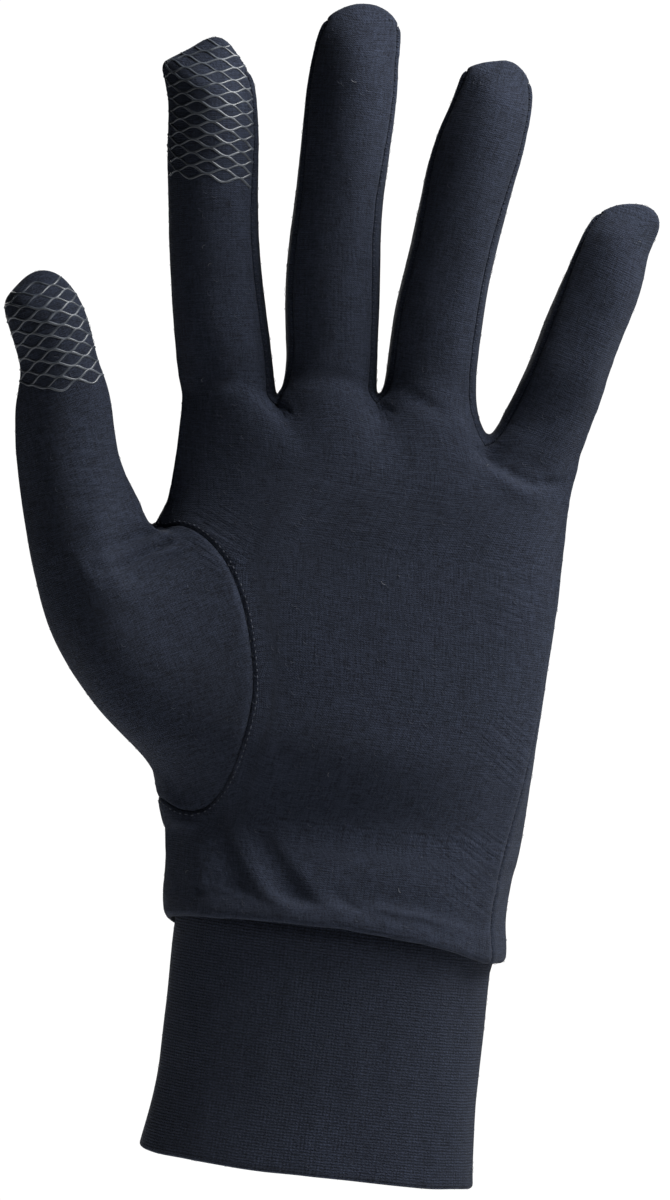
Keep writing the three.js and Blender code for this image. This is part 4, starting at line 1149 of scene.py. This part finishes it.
def finishTree(tree, given, out, shape):
    smooth = addNode(tree, "GeometryNodeSetShadeSmooth", {0: shape})
    real = addNode(tree, "GeometryNodeRealizeInstances", {0: smooth.outputs[0]})
    painted = {"Geometry": real.outputs[0], "Material": given.outputs["Finish"]}
    paint = addNode(tree, "GeometryNodeSetMaterial", painted)
    tree.links.new(paint.outputs[0], out.inputs[0])
    return tree


def runTree(tree, source, values, name):
    modifier = source.modifiers.new(name, "NODES")
    modifier.node_group = tree
    for item in tree.interface.items_tree:
        if item.in_out == "INPUT" and item.name in values:
            modifier[item.identifier] = values[item.name]
    shaped = source.evaluated_get(bpy.context.evaluated_depsgraph_get())
    mesh = bpy.data.meshes.new_from_object(shaped)
    source.modifiers.remove(modifier)
    bpy.data.objects.remove(source)
    mesh.name = name
    return newObject(name, mesh)


def sourceObject(name, places, edges, vectors=(), numbers=()):
    # bare points or lines that carry what a tree reads
    mesh = bpy.data.meshes.new(name)
    mesh.from_pydata((np.asarray(places) * millimetre).tolist(), edges, [])
    for label, values in vectors:
        layer = mesh.attributes.new(label, "FLOAT_VECTOR", "POINT")
        layer.data.foreach_set("vector", np.asarray(values, np.float32).ravel())
    for label, values in numbers:
        layer = mesh.attributes.new(label, "FLOAT", "POINT")
        layer.data.foreach_set("value", np.asarray(values, np.float32))
    return newObject(name, mesh)


def sweepAlong(tree, line, resolution, radius, scale):
    # a closed round bead along a line
    profile = addNode(tree, "GeometryNodeCurvePrimitiveCircle", {"Resolution": resolution, "Radius": radius})
    swept = {"Curve": line, "Profile Curve": profile.outputs[0], "Scale": scale, "Fill Caps": True}
    return addNode(tree, "GeometryNodeCurveToMesh", swept).outputs[0]


def strandTree():
    # a round bead of rubber along every line, thinner where its attribute says so
    tree, given, out = shapeTree("printedStrands", [("Radius", "Float", 0.0003), ("Sides", "Int", 8)])
    thickness = readAttribute(tree, "thickness", "FLOAT")
    lines = addNode(tree, "GeometryNodeMeshToCurve", {0: given.outputs["Geometry"]}).outputs[0]
    bead = sweepAlong(tree, lines, given.outputs["Sides"], given.outputs["Radius"], thickness)
    return finishTree(tree, given, out, bead)


def stitchTree():
    # one small plump stitch on every point, turned along its seam and standing on the cloth
    inputs = [("Length", "Float", 0.001), ("Thickness", "Float", 0.0003), ("Seed", "Int", 4)]
    tree, given, out = shapeTree("sewnStitches", inputs)
    ball = addNode(tree, "GeometryNodeMeshUVSphere", {"Segments": 7, "Rings": 5, "Radius": 0.5})
    thickness = given.outputs["Thickness"]
    sides = {"X": given.outputs["Length"], "Y": thickness, "Z": thickness}
    size = addNode(tree, "ShaderNodeCombineXYZ", sides).outputs[0]
    shaped = addNode(tree, "GeometryNodeTransform", {"Geometry": ball.outputs["Mesh"], "Scale": size})
    alongSeam = {"Vector": readAttribute(tree, "along", "FLOAT_VECTOR")}
    along = addNode(tree, "FunctionNodeAlignRotationToVector", alongSeam, axis="X")
    offCloth = {"Rotation": along.outputs[0], "Vector": readAttribute(tree, "out", "FLOAT_VECTOR")}
    outward = addNode(tree, "FunctionNodeAlignRotationToVector", offCloth, axis="Z", pivot_axis="X")
    instances = {
        "Points": given.outputs["Geometry"],
        "Instance": shaped.outputs[0],
        "Rotation": outward.outputs[0],
        "Scale": chanceBetween(tree, given.outputs["Seed"], 0.8, 1.15),
    }
    place = addNode(tree, "GeometryNodeInstanceOnPoints", instances)
    return finishTree(tree, given, out, place.outputs[0])


def fibreTree():
    # loose curved fibres scattered over the cloth
    inputs = [
        ("Density", "Float", 1000.0),
        ("Length", "Float", 0.001),
        ("Slimness", "Float", 0.03),
        ("Seed", "Int", 7),
    ]
    tree, given, out = shapeTree("looseFibres", inputs)
    seed = given.outputs["Seed"]
    ground = {"Mesh": given.outputs["Geometry"], "Density": given.outputs["Density"], "Seed": seed}
    scatter = addNode(tree, "GeometryNodeDistributePointsOnFaces", ground)
    bow = {"Start": (-0.5, 0.0, -0.03), "Middle": (0.05, 0.45, 0.32), "End": (0.5, -0.05, 0.06)}
    bend = addNode(tree, "GeometryNodeCurveQuadraticBezier", dict(bow, Resolution=3)).outputs[0]
    hair = sweepAlong(tree, bend, 3, given.outputs["Slimness"], 1.0)
    spin = addNode(tree, "ShaderNodeCombineXYZ", {"Z": chanceBetween(tree, seed, -3.14, 3.14)})
    asTurn = addNode(tree, "FunctionNodeEulerToRotation", {0: spin.outputs[0]})
    both = {0: scatter.outputs["Rotation"], 1: asTurn.outputs[0]}
    turn = addNode(tree, "FunctionNodeRotateRotation", both, rotation_space="LOCAL")
    instances = {
        "Points": scatter.outputs["Points"],
        "Instance": hair,
        "Rotation": turn.outputs[0],
        "Scale": mathNode(tree, "MULTIPLY", chanceBetween(tree, seed, 0.5, 1.4), given.outputs["Length"]),
    }
    place = addNode(tree, "GeometryNodeInstanceOnPoints", instances)
    return finishTree(tree, given, out, place.outputs[0])


def mathNode(tree, operation, *values):
    return addNode(tree, "ShaderNodeMath", dict(enumerate(values)), operation=operation).outputs[0]


# Raised net printed on the index and thumb tips: wavy strands that touch and part again, in lens-shaped cells
net = {
    "radius": 0.33,
    "sink": 0.12,
    "step": 0.35,
    "sides": 8,
    "reach": 16.0,
}
indexPrint = {
    "centre": 0.79,
    "left": -0.72,
    "right": 0.6,
    "firstRow": -10,
    "columnPitch": 3.8,
    "rowPitch": 2.83,
    "tilt": -9.5,
    "steps": 0,
    "shift": (0.6, 0.4),
}
thumbPrint = {
    "centre": 0.78,
    "left": -0.74,
    "right": 0.7,
    "firstRow": -5,
    "columnPitch": 3.6,
    "rowPitch": 3.05,
    "tilt": -3.0,
    "steps": 2,
    "shift": (0.2, 1.2),
    "middleAcross": -0.2,
}


def rayFrom(start, digit, sideways):
    # straight forwards out of a finger, closing up towards its sides
    half = digit["width"] / 2
    side = half * math.sin(max(-1.4, min(1.4, sideways / half)))
    c, s = cosSin(digit["lean"])
    x, y, z = start
    return Vector((x + side * c, y, z - side * s)), Vector((0.0, -1.0, 0.0))


def indexRay(sideways, along):
    finger = fingers[0]
    offset = fingerSections["index"][3][1] * finger["width"]
    return rayFrom(fingerPlace(0, along, offset, 0.0), finger, sideways)


def thumbRay(sideways, along):
    start = thumbPlace(along, thumbPrint["middleAcross"])
    start[1] = -thumb["forward"]
    return rayFrom(start, thumb, sideways)


def strandLines(look, digit, piece, castFrom):
    fine = levels[-1]
    tree = BVHTree.FromPolygons(skin.tolist(), fine["quads"][fine["pieces"] == piece].tolist())
    c, s = cosSin(look["tilt"])
    swing, gap = look["rowPitch"] / 4, look["rowPitch"] / 2
    places, lines, thickness = [], [], []
    reach = int(net["reach"] / gap)
    for row in range(look["firstRow"], reach + 1):
        before = None
        stair = row - look["firstRow"]  # the lowest strands begin one cell further in
        begin = -net["reach"]
        if stair < look["steps"]:
            begin = look["shift"][0] - look["columnPitch"] * (stair + 1)
        for x in np.arange(begin, net["reach"], net["step"]):
            phase = math.pi * (x - look["shift"][0]) / look["columnPitch"] + math.pi * (row % 2)
            y = row * gap + swing * math.cos(phase) + look["shift"][1]
            sideways = x * c - y * s
            along = look["centre"] + (x * s + y * c) / digit["length"]
            across = sideways / digit["width"]
            isIn = look["left"] < across < look["right"] and along < 1.1
            hit, normal = tree.ray_cast(*castFrom(sideways, along))[:2] if isIn else (None, None)
            if hit is None:
                before = None
                continue
            places.append(hit - normal * net["sink"])
            worn = softNoise(np.array([[x / 1.7, y / 1.7, look["tilt"]]]), 51)[0]
            thickness.append(0.95 + 0.13 * worn)
            if before is not None:
                lines.append((before, len(places) - 1))
            before = len(places) - 1
    return [tuple(place) for place in places], lines, thickness


printTree = strandTree()
sewTree = stitchTree()
fuzzTree = fibreTree()


# Shader groups shared by the cloths
def vectorNode(tree, operation, given):
    return addNode(tree, "ShaderNodeVectorMath", given, operation=operation)


def noiseNode(tree, place, scale, detail, roughness=0.5):
    given = {"Vector": place, "Scale": scale, "Detail": detail, "Roughness": roughness}
    return addNode(tree, "ShaderNodeTexNoise", given).outputs["Fac"]


def stretchNode(tree, place, scale):
    return addNode(tree, "ShaderNodeMapping", {"Vector": place, "Scale": scale}).outputs[0]


def mixNode(tree, share, first, second):
    given = {0: share, 6: (*first, 1), 7: (*second, 1)}
    return addNode(tree, "ShaderNodeMix", given, data_type="RGBA").outputs[2]


def bumpNode(tree, height, distance, strength):
    given = {"Height": height, "Distance": distance, "Strength": strength}
    return addNode(tree, "ShaderNodeBump", given).outputs[0]


def makeKnitGroup():
    # height of a plain knit: columns of V stitches; spot is in units of one stitch each way
    inputs = [("Spot", "Vector"), ("Slant", "Float", 0.55)]
    tree, given, out = newGroup("ShaderNodeTree", "knitStitches", inputs, [("Height", "Float")])
    parts = addNode(tree, "ShaderNodeSeparateXYZ", {0: given.outputs["Spot"]})
    column = mathNode(tree, "FRACT", parts.outputs["X"])
    fromMiddle = mathNode(tree, "ABSOLUTE", mathNode(tree, "MULTIPLY_ADD", column, 2.0, -1.0))
    slanted = mathNode(tree, "MULTIPLY_ADD", fromMiddle, given.outputs["Slant"], parts.outputs["Y"])
    yarn = mathNode(tree, "SINE", mathNode(tree, "MULTIPLY", mathNode(tree, "FRACT", slanted), math.pi))
    leg = mathNode(tree, "SINE", mathNode(tree, "MULTIPLY", fromMiddle, math.pi))
    made = mathNode(tree, "MULTIPLY", mathNode(tree, "POWER", yarn, 0.6), mathNode(tree, "POWER", leg, 0.5))
    tree.links.new(made, out.inputs["Height"])
    return tree


def makeRibGroup():
    # small loops in even columns and rows, the rows a little stronger
    tree, given, out = newGroup("ShaderNodeTree", "ribStitches", [("Spot", "Vector")], [("Height", "Float")])
    parts = addNode(tree, "ShaderNodeSeparateXYZ", {0: given.outputs["Spot"]})
    waves = []
    for axis, power in (("X", 0.8), ("Y", 0.9)):
        turn = mathNode(tree, "MULTIPLY", mathNode(tree, "FRACT", parts.outputs[axis]), math.pi)
        waves.append(mathNode(tree, "POWER", mathNode(tree, "SINE", turn), power))
    column = mathNode(tree, "MULTIPLY_ADD", waves[0], 0.5, 0.5)
    tree.links.new(mathNode(tree, "MULTIPLY", waves[1], column), out.inputs["Height"])
    return tree


def makeHeatherGroup():
    # uneven dye of spun yarn: short streaks along the rows, faint ones up the columns and fine specks
    inputs = [("Spot", "Vector"), ("Streak", "Float", 1.0), ("Column", "Float", 0.5), ("Speck", "Float", 0.5)]
    outputs = [("Share", "Float"), ("Patch", "Float")]
    tree, given, out = newGroup("ShaderNodeTree", "heatherStreaks", inputs, outputs)
    total = 0.5
    layers = (((0.34, 2.1), 3.0, "Streak"), ((1.9, 0.22), 2.0, "Column"), ((2.3, 3.1), 3.0, "Speck"))
    for stretch, detail, strength in layers:
        spot = stretchNode(tree, given.outputs["Spot"], (stretch[0], stretch[1], stretch[0]))
        centred = mathNode(tree, "SUBTRACT", noiseNode(tree, spot, 1.0, detail, 0.6), 0.5)
        total = mathNode(tree, "MULTIPLY_ADD", centred, given.outputs[strength], total)
    clamp = addNode(tree, "ShaderNodeClamp", {0: total})
    tree.links.new(clamp.outputs[0], out.inputs["Share"])
    tree.links.new(noiseNode(tree, given.outputs["Spot"], 0.06, 2.0), out.inputs["Patch"])
    return tree


def makeRidgeGroup():
    # a patch of fine ridges where the cloth is pulled; place and centre are in millimetres
    inputs = [
        ("Place", "Vector"),
        ("Centre", "Vector"),
        ("Turn", "Float", 0.0),
        ("Spacing", "Float", 1.5),
        ("Radius", "Float", 12.0),
        ("Rise", "Float", 0.1),
    ]
    tree, given, out = newGroup("ShaderNodeTree", "pulledRidges", inputs, [("Height", "Float")])
    moved = vectorNode(tree, "SUBTRACT", {0: given.outputs["Place"], 1: given.outputs["Centre"]}).outputs[0]
    away = vectorNode(tree, "LENGTH", {0: moved}).outputs["Value"]
    fading = {
        "Value": mathNode(tree, "DIVIDE", away, given.outputs["Radius"]),
        "From Min": 0.35,
        "From Max": 1.0,
        "To Min": 1.0,
        "To Max": 0.0,
    }
    mask = addNode(tree, "ShaderNodeMapRange", fading, interpolation_type="SMOOTHSTEP").outputs["Result"]
    turning = {"Vector": moved, "Angle": given.outputs["Turn"]}
    turned = addNode(tree, "ShaderNodeVectorRotate", turning, rotation_type="Y_AXIS").outputs[0]
    perRidge = mathNode(tree, "DIVIDE", 1.0, given.outputs["Spacing"])
    tight = vectorNode(tree, "SCALE", {0: turned, "Scale": perRidge}).outputs[0]
    waves = noiseNode(tree, stretchNode(tree, tight, (0.13, 0.08, 1.0)), 1.0, 2.0)
    centred = mathNode(tree, "SUBTRACT", waves, 0.5)
    strength = mathNode(tree, "MULTIPLY", mask, given.outputs["Rise"])
    tree.links.new(mathNode(tree, "MULTIPLY", centred, strength), out.inputs["Height"])
    return tree


knitGroup = makeKnitGroup()
ribGroup = makeRibGroup()
heatherGroup = makeHeatherGroup()
ridgeGroup = makeRidgeGroup()

tensionFields = (  # x, z, radius, direction from X in degrees, spacing, rise: patches of fine pulled ridges
    (36.0, 96.0, 16.0, -33.0, 1.1, 0.9),
    (30.0, 71.0, 17.0, -30.0, 1.2, 0.95),
    (-3.0, 149.0, 28.0, -4.0, 1.6, 0.5),
    (-36.0, 136.0, 12.0, -24.0, 1.0, 1.0),
    (-62.0, 147.0, 17.0, 8.0, 1.6, 1.1),
    (31.0, 130.0, 16.0, -12.0, 1.6, 0.8),
    (-22.0, 64.0, 16.0, -60.0, 1.6, 0.9),
)
thumbTension = tensionFields[3:5]

jerseyLook = {
    "dark": (0.0073, 0.0095, 0.0168),
    "light": (0.0266, 0.0343, 0.0575),
    "fuzz": (0.30, 0.34, 0.42),
    "sheen": 0.06,
    "roughness": 0.93,
    "columnsPerMm": 1.75,
    "rowsPerMm": 2.3,
    "stitchDepth": 0.00009,
    "streak": 1.7,
    "column": 1.2,
    "speck": 2.2,
    "ridgeRise": 7.0,
    "ridgeY": -14.0,
    # gapShade: how strongly painted shade darkens the colour in the gaps between stitches
    "gapShade": 0.45,
}
ribLook = dict(
    jerseyLook,
    dark=(0.0067, 0.0088, 0.0156),
    light=(0.0245, 0.0316, 0.0532),
    columnsPerMm=cuff["ribs"] / cuff["girth"],
    rowsPerMm=1.55,
    stitchDepth=0.00018,
    gapShade=0.8,
    streak=1.2,
    column=0.9,
    speck=3.4,
)
# the thumb's jersey is the same cloth with its colours painted 12% darker all over: painted shade on the
# thumb
shadedThumbLook = dict(jerseyLook, dark=(0.0064, 0.0084, 0.0148), light=(0.0234, 0.0302, 0.0506))


def newMaterial(name):
    material = bpy.data.materials.new(name)
    material.use_nodes = True
    tree = material.node_tree
    place = tree.nodes.new("ShaderNodeTexCoord").outputs["Object"]
    return material, tree, tree.nodes["Principled BSDF"], place


def clothMaterial(name, look, stitchGroup, lean=None, ridges=()):
    material, tree, shader, place = newMaterial(name)
    inMm = vectorNode(tree, "SCALE", {0: place, "Scale": 1000.0}).outputs[0]
    if lean is None:
        uv = addNode(tree, "ShaderNodeUVMap", {}, uv_map="cloth").outputs[0]
        spot = vectorNode(tree, "SCALE", {0: uv, "Scale": 1 / uvPerMm}).outputs[0]
    else:  # rows lie level across a leaning piece
        leaning = {"Vector": inMm, "Rotation": (-math.pi / 2, 0.0, math.radians(lean))}
        spot = addNode(tree, "ShaderNodeMapping", leaning).outputs[0]
    perStitch = stretchNode(tree, spot, (look["columnsPerMm"], look["rowsPerMm"], 1.0))
    stitches = addNode(tree, "ShaderNodeGroup", {"Spot": perStitch}, node_tree=stitchGroup).outputs["Height"]
    dyed = {"Spot": spot, "Streak": look["streak"], "Column": look["column"], "Speck": look["speck"]}
    heather = addNode(tree, "ShaderNodeGroup", dyed, node_tree=heatherGroup)
    # painted shade: the colour is darkened in the gaps between stitches, where the hollows of the knit fall
    # into shade
    shade = mathNode(tree, "MULTIPLY_ADD", stitches, look["gapShade"], 0.9 - 0.62 * look["gapShade"])
    patchy = mathNode(tree, "MULTIPLY_ADD", heather.outputs["Patch"], 0.3, 0.85)
    colour = mixNode(tree, heather.outputs["Share"], look["dark"], look["light"])
    gapShadeAndPatches = mathNode(tree, "MULTIPLY", shade, patchy)
    lumps = mathNode(tree, "MULTIPLY_ADD", heather.outputs["Share"], 0.8, stitches)
    for x, z, radius, turn, spacing, rise in ridges:
        pulled = {
            "Place": inMm,
            "Centre": (x, look["ridgeY"], z),
            "Turn": math.radians(turn),
            "Spacing": spacing,
            "Radius": radius,
            "Rise": rise * look["ridgeRise"],
        }
        patch = addNode(tree, "ShaderNodeGroup", pulled, node_tree=ridgeGroup)
        lumps = mathNode(tree, "ADD", lumps, patch.outputs["Height"])
    surface = {
        "Base Color": vectorNode(tree, "SCALE", {0: colour, "Scale": gapShadeAndPatches}).outputs[0],
        "Roughness": look["roughness"],
        "Specular IOR Level": 0.2,
        "Sheen Weight": look["sheen"],
        "Sheen Roughness": 0.45,
        "Sheen Tint": (*look["fuzz"], 1),
        "Normal": bumpNode(tree, lumps, look["stitchDepth"], 1.0),
    }
    feed(tree, shader, surface)
    return material


def siliconeMaterial():
    material, tree, shader, place = newMaterial("printedSilicone")
    cloud = noiseNode(tree, place, 420.0, 3.0)
    ramp = addNode(tree, "ShaderNodeValToRGB", {0: cloud})
    shades = ((0.35, (0.028, 0.034, 0.044, 1)), (0.68, (0.075, 0.085, 0.102, 1)))
    for element, (position, colour) in zip(ramp.color_ramp.elements, shades):
        element.position = position
        element.color = colour
    surface = {
        "Base Color": ramp.outputs[0],
        "Roughness": mathNode(tree, "MULTIPLY_ADD", cloud, 0.32, 0.27),
        "Normal": bumpNode(tree, cloud, 0.0001, 0.6),
    }
    feed(tree, shader, surface)
    return material


def fibreMaterial(name, dark, light, roughness):
    # twisted thread or loose fibre, a little uneven along its length
    material, tree, shader, place = newMaterial(name)
    twist = noiseNode(tree, place, 2600.0, 2.0)
    surface = {
        "Base Color": mixNode(tree, twist, dark, light),
        "Roughness": mathNode(tree, "MULTIPLY_ADD", twist, 0.2, roughness - 0.1),
        "Specular IOR Level": 0.25,
    }
    feed(tree, shader, surface)
    return material


jersey = clothMaterial("woolJersey", jerseyLook, knitGroup, ridges=tensionFields)
shadedThumbJersey = clothMaterial("shadedThumbJersey", shadedThumbLook, knitGroup, lean=thumb["lean"], ridges=thumbTension)
ribKnit = clothMaterial("ribKnit", ribLook, ribGroup)
silicone = siliconeMaterial()
thread = fibreMaterial("sewingThread", (0.024, 0.028, 0.041), (0.072, 0.081, 0.104), 0.6)
darkThread = fibreMaterial("darkThread", (0.009, 0.011, 0.018), (0.03, 0.036, 0.056), 0.7)
fluff = fibreMaterial("woolFluff", (0.02, 0.024, 0.035), (0.07, 0.078, 0.10), 0.85)
paleLint = fibreMaterial("paleLint", (0.07, 0.075, 0.085), (0.17, 0.175, 0.19), 0.85)
finishes = {"ribbedCuff": ribKnit, "thumbCloth": shadedThumbJersey}
for name, piece in pieces.items():
    piece.data.materials.append(finishes.get(name, jersey))
print("cloth materials made")

printValues = {"Radius": net["radius"] * millimetre, "Sides": net["sides"], "Finish": silicone}
for name, look, digit, number, ray in (
    ("indexNet", indexPrint, fingers[0], 0, indexRay),
    ("thumbNet", thumbPrint, thumb, thumbNumber, thumbRay),
):
    places, lines, thickness = strandLines(look, digit, number, ray)
    source = sourceObject(name + "Lines", places, lines, numbers=[("thickness", thickness)])
    pieces[name] = runTree(printTree, source, printValues, name)
print("nets printed")

# Stitches along the seams, in millimetres, but across: at 0 they lie along the seam and at 1 they cross it
stitchColumns = ("pitch", "length", "thickness", "beside", "across", "rise", "thread")
stitchRows = {
    "thumb": (1.35, 0.7, 0.28, 0.95, 0.0, 0.02, thread),
    "fingers": (1.25, 0.95, 0.22, 0.45, 1.0, 0.02, darkThread),
    "side": (1.4, 0.9, 0.22, 0.5, 0.9, 0.01, darkThread),
}
stitching = {kind: dict(zip(stitchColumns, row)) for kind, row in stitchRows.items()}


def chainsOf(a, b):
    # numbered edges joined end to end into lines
    nextTo = {}
    unused = set()
    for one, two in zip(a.tolist(), b.tolist()):
        nextTo.setdefault(one, []).append(two)
        nextTo.setdefault(two, []).append(one)
        unused.add(frozenset((one, two)))
    starts = [j for j in nextTo if len(nextTo[j]) != 2] + list(nextTo)
    chains = []
    for start in starts:
        for ahead in nextTo[start]:
            if frozenset((start, ahead)) not in unused:
                continue
            chain = [start]
            here, goal = start, ahead
            while goal is not None:
                unused.discard(frozenset((here, goal)))
                chain.append(goal)
                here, ways = goal, nextTo[goal]
                options = [j for j in ways if frozenset((here, j)) in unused]
                goal = options[0] if options and len(ways) == 2 else None
            chains.append(chain)
    return chains


aimReach = 0.6  # how far to both sides of a stitch the seam's direction is measured


def valuesAt(stops, run, values):
    return np.stack([np.interp(stops, run, values[:, k]) for k in range(3)], axis=1)


def stitchesAlong(seamEdges, pieceNumber, look):
    fine = levels[-1]
    own = BVHTree.FromPolygons(skin.tolist(), fine["quads"][fine["pieces"] == pieceNumber].tolist())
    places, alongs, outs = [], [], []
    for chain in chainsOf(allEdges["a"][seamEdges], allEdges["b"][seamEdges]):
        line = skin[chain]
        run = runningLength(line)
        if run[-1] < 3 * look["pitch"]:
            continue
        stops = np.arange(look["pitch"] / 2, run[-1], look["pitch"])
        ahead = valuesAt(stops + aimReach, run, line) - valuesAt(stops - aimReach, run, line)
        out = valuesAt(stops, run, plainNormals[chain])
        for place, forward, normal in zip(valuesAt(stops, run, line), ahead, out):
            forward = forward / max(np.linalg.norm(forward), 1e-9)
            side = np.cross(normal, forward)
            found = []
            for sign in (1.0, -1.0):
                hit, up, _, away = own.find_nearest(Vector(place + sign * side * look["beside"]))
                found.append((away, sign, hit, up))
            _, sign, hit, up = min(found, key=lambda near: near[0])
            direction = mix(forward, sign * side, look["across"])
            places.append(tuple(hit + up * look["rise"]))
            alongs.append(tuple(direction / np.linalg.norm(direction)))
            outs.append(tuple(up))
    return places, alongs, outs


def sew(name, kind, seams):
    look = stitching[kind]
    places, alongs, outs = [], [], []
    for seamEdges, pieceNumber in seams:
        found = stitchesAlong(seamEdges, pieceNumber, look)
        places += found[0]
        alongs += found[1]
        outs += found[2]
    source = sourceObject(name + "Points", places, [], vectors=[("along", alongs), ("out", outs)])
    values = {"Length": look["length"] * millimetre, "Thickness": look["thickness"] * millimetre}
    print(f"{name}: {len(places)} stitches")
    return runTree(sewTree, source, dict(values, Seed=4, Finish=look["thread"]), name)


def seamBetween(one, two):
    return isSeam & (lowPiece == min(one, two)) & (highPiece == max(one, two))


thumbSeams = [(seamBetween(side, thumbNumber), side) for side in (0, 1)]
pieces["thumbStitches"] = sew("thumbStitches", "thumb", thumbSeams)
stripSeams = [(seamBetween(side, strip), strip) for strip in (2, 3, 4) for side in (0, 1)]
pieces["fingerStitches"] = sew("fingerStitches", "fingers", stripSeams)
pieces["sideStitches"] = sew("sideStitches", "side", [(seamBetween(0, 1), 0)])

# Loose wool fibres and a few pale bits of lint
fibres = {
    "looseFibres": {"Density": 90000.0, "Length": 0.0009, "Slimness": 0.03, "Seed": 7, "Finish": fluff},
    "cuffFibres": {"Density": 60000.0, "Length": 0.0008, "Slimness": 0.03, "Seed": 8, "Finish": fluff},
    "lint": {"Density": 1000.0, "Length": 0.0009, "Slimness": 0.045, "Seed": 9, "Finish": paleLint},
}
handFaces = levels[hand["wallLevels"] + 1]["quads"]
for name, values in fibres.items():
    if name == "cuffFibres":
        ground = newObject("cuffGround", pieces["ribbedCuff"].data.copy())
    else:
        used, again = np.unique(handFaces, return_inverse=True)
        ground = meshFrom("handGround", skin[used], again.reshape(-1, 4).tolist(), None)
    pieces[name] = runTree(fuzzTree, ground, values, name)
print("stitches and fibres added")

standsFor = {
    "palmCloth": ("palm_panel", "jersey"),
    "backCloth": ("back_panel", "jersey"),
    "sideStripIndexMiddle": ("fourchette_index_middle", "jersey"),
    "sideStripMiddleRing": ("fourchette_middle_ring", "jersey"),
    "sideStripRingLittle": ("fourchette_ring_little", "jersey"),
    "thumbCloth": ("thumb", "jersey"),
    "ribbedCuff": ("cuff", "rib_knit"),
    "indexNet": ("print_index", "silicone"),
    "thumbNet": ("print_thumb", "silicone"),
    "thumbStitches": (None, "jersey"),
    "fingerStitches": (None, "jersey"),
    "sideStitches": (None, "jersey"),
    "looseFibres": (None, "jersey"),
    "cuffFibres": (None, "rib_knit"),
    "lint": (None, "jersey"),
}
for name, (node, slot) in standsFor.items():
    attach(pieces[name], "root")
    if node:
        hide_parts(node)

# Camera, floor and light
view = {"distance": 1.3, "aimX": -0.0089, "aimZ": 0.1248, "frameHeight": 0.264, "roll": 7.0}
lens = bpy.data.cameras.new("camera")
camera = newObject("camera", lens)
bpy.context.scene.camera = camera
lens.sensor_width = 36.0
lens.lens = lens.sensor_width * view["distance"] / view["frameHeight"]
lens.clip_start, lens.clip_end = 0.05, 30.0
c, s = cosSin(view["roll"])
turned = Matrix(((c, -s, 0.0), (0.0, 0.0, -1.0), (s, c, 0.0))).to_4x4()
camera.matrix_world = Matrix.Translation((view["aimX"], -view["distance"], view["aimZ"])) @ turned

floorLook = {"radius": 0.5, "drop": 0.075, "colour": (0.86, 0.86, 0.86), "roughness": 0.9}
bpy.ops.mesh.primitive_circle_add(vertices=128, radius=floorLook["radius"], fill_type="NGON")
floor = bpy.context.object
floor.name = "floor"
floor.location = (0.0, 0.0, -floorLook["drop"])
floorPaint = bpy.data.materials.new("floorPaint")
floorPaint.use_nodes = True
tree = floorPaint.node_tree
floorSurface = {"Base Color": (*floorLook["colour"], 1), "Roughness": floorLook["roughness"]}
feed(tree, tree.nodes["Principled BSDF"], floorSurface)
floor.data.materials.append(floorPaint)

lamps = {  # place, size, power
    "key": ((0.3, -0.08, 0.58), 0.25, 5.8),
    "high": ((0.563, -0.394, 1.053), 0.5, 7.2),
    "side": ((0.925, -0.116, 0.801), 0.5, 1.5),
    "back": ((-0.35, 1.3, 0.55), 0.8, 14.0),
}
lampAim = Vector((0.0, 0.0, 0.13))
for name, (place, size, power) in lamps.items():
    lamp = bpy.data.lights.new(name, "AREA")
    lamp.size = size
    lamp.energy = power
    made = newObject(name, lamp)
    made.location = place
    made.rotation_mode = "QUATERNION"
    made.rotation_quaternion = (Vector(place) - lampAim).to_track_quat("Z", "Y")

bpy.context.scene.view_settings.view_transform = "Standard"
world = bpy.data.worlds.new("paleRoom")
bpy.context.scene.world = world
world.use_nodes = True
sky = world.node_tree
rays = addNode(sky, "ShaderNodeLightPath", {}).outputs["Is Camera Ray"]
brightness = mathNode(sky, "MULTIPLY_ADD", rays, 1.03, 0.02)
feed(sky, sky.nodes["Background"], {"Color": (1, 1, 1, 1), "Strength": brightness})

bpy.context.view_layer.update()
total = 0
for name, piece in pieces.items():
    piece.data.calc_loop_triangles()
    total += len(piece.data.loop_triangles)
    print(f"{name}: {len(piece.data.loop_triangles)} triangles")
print(f"all pieces: {total} triangles")
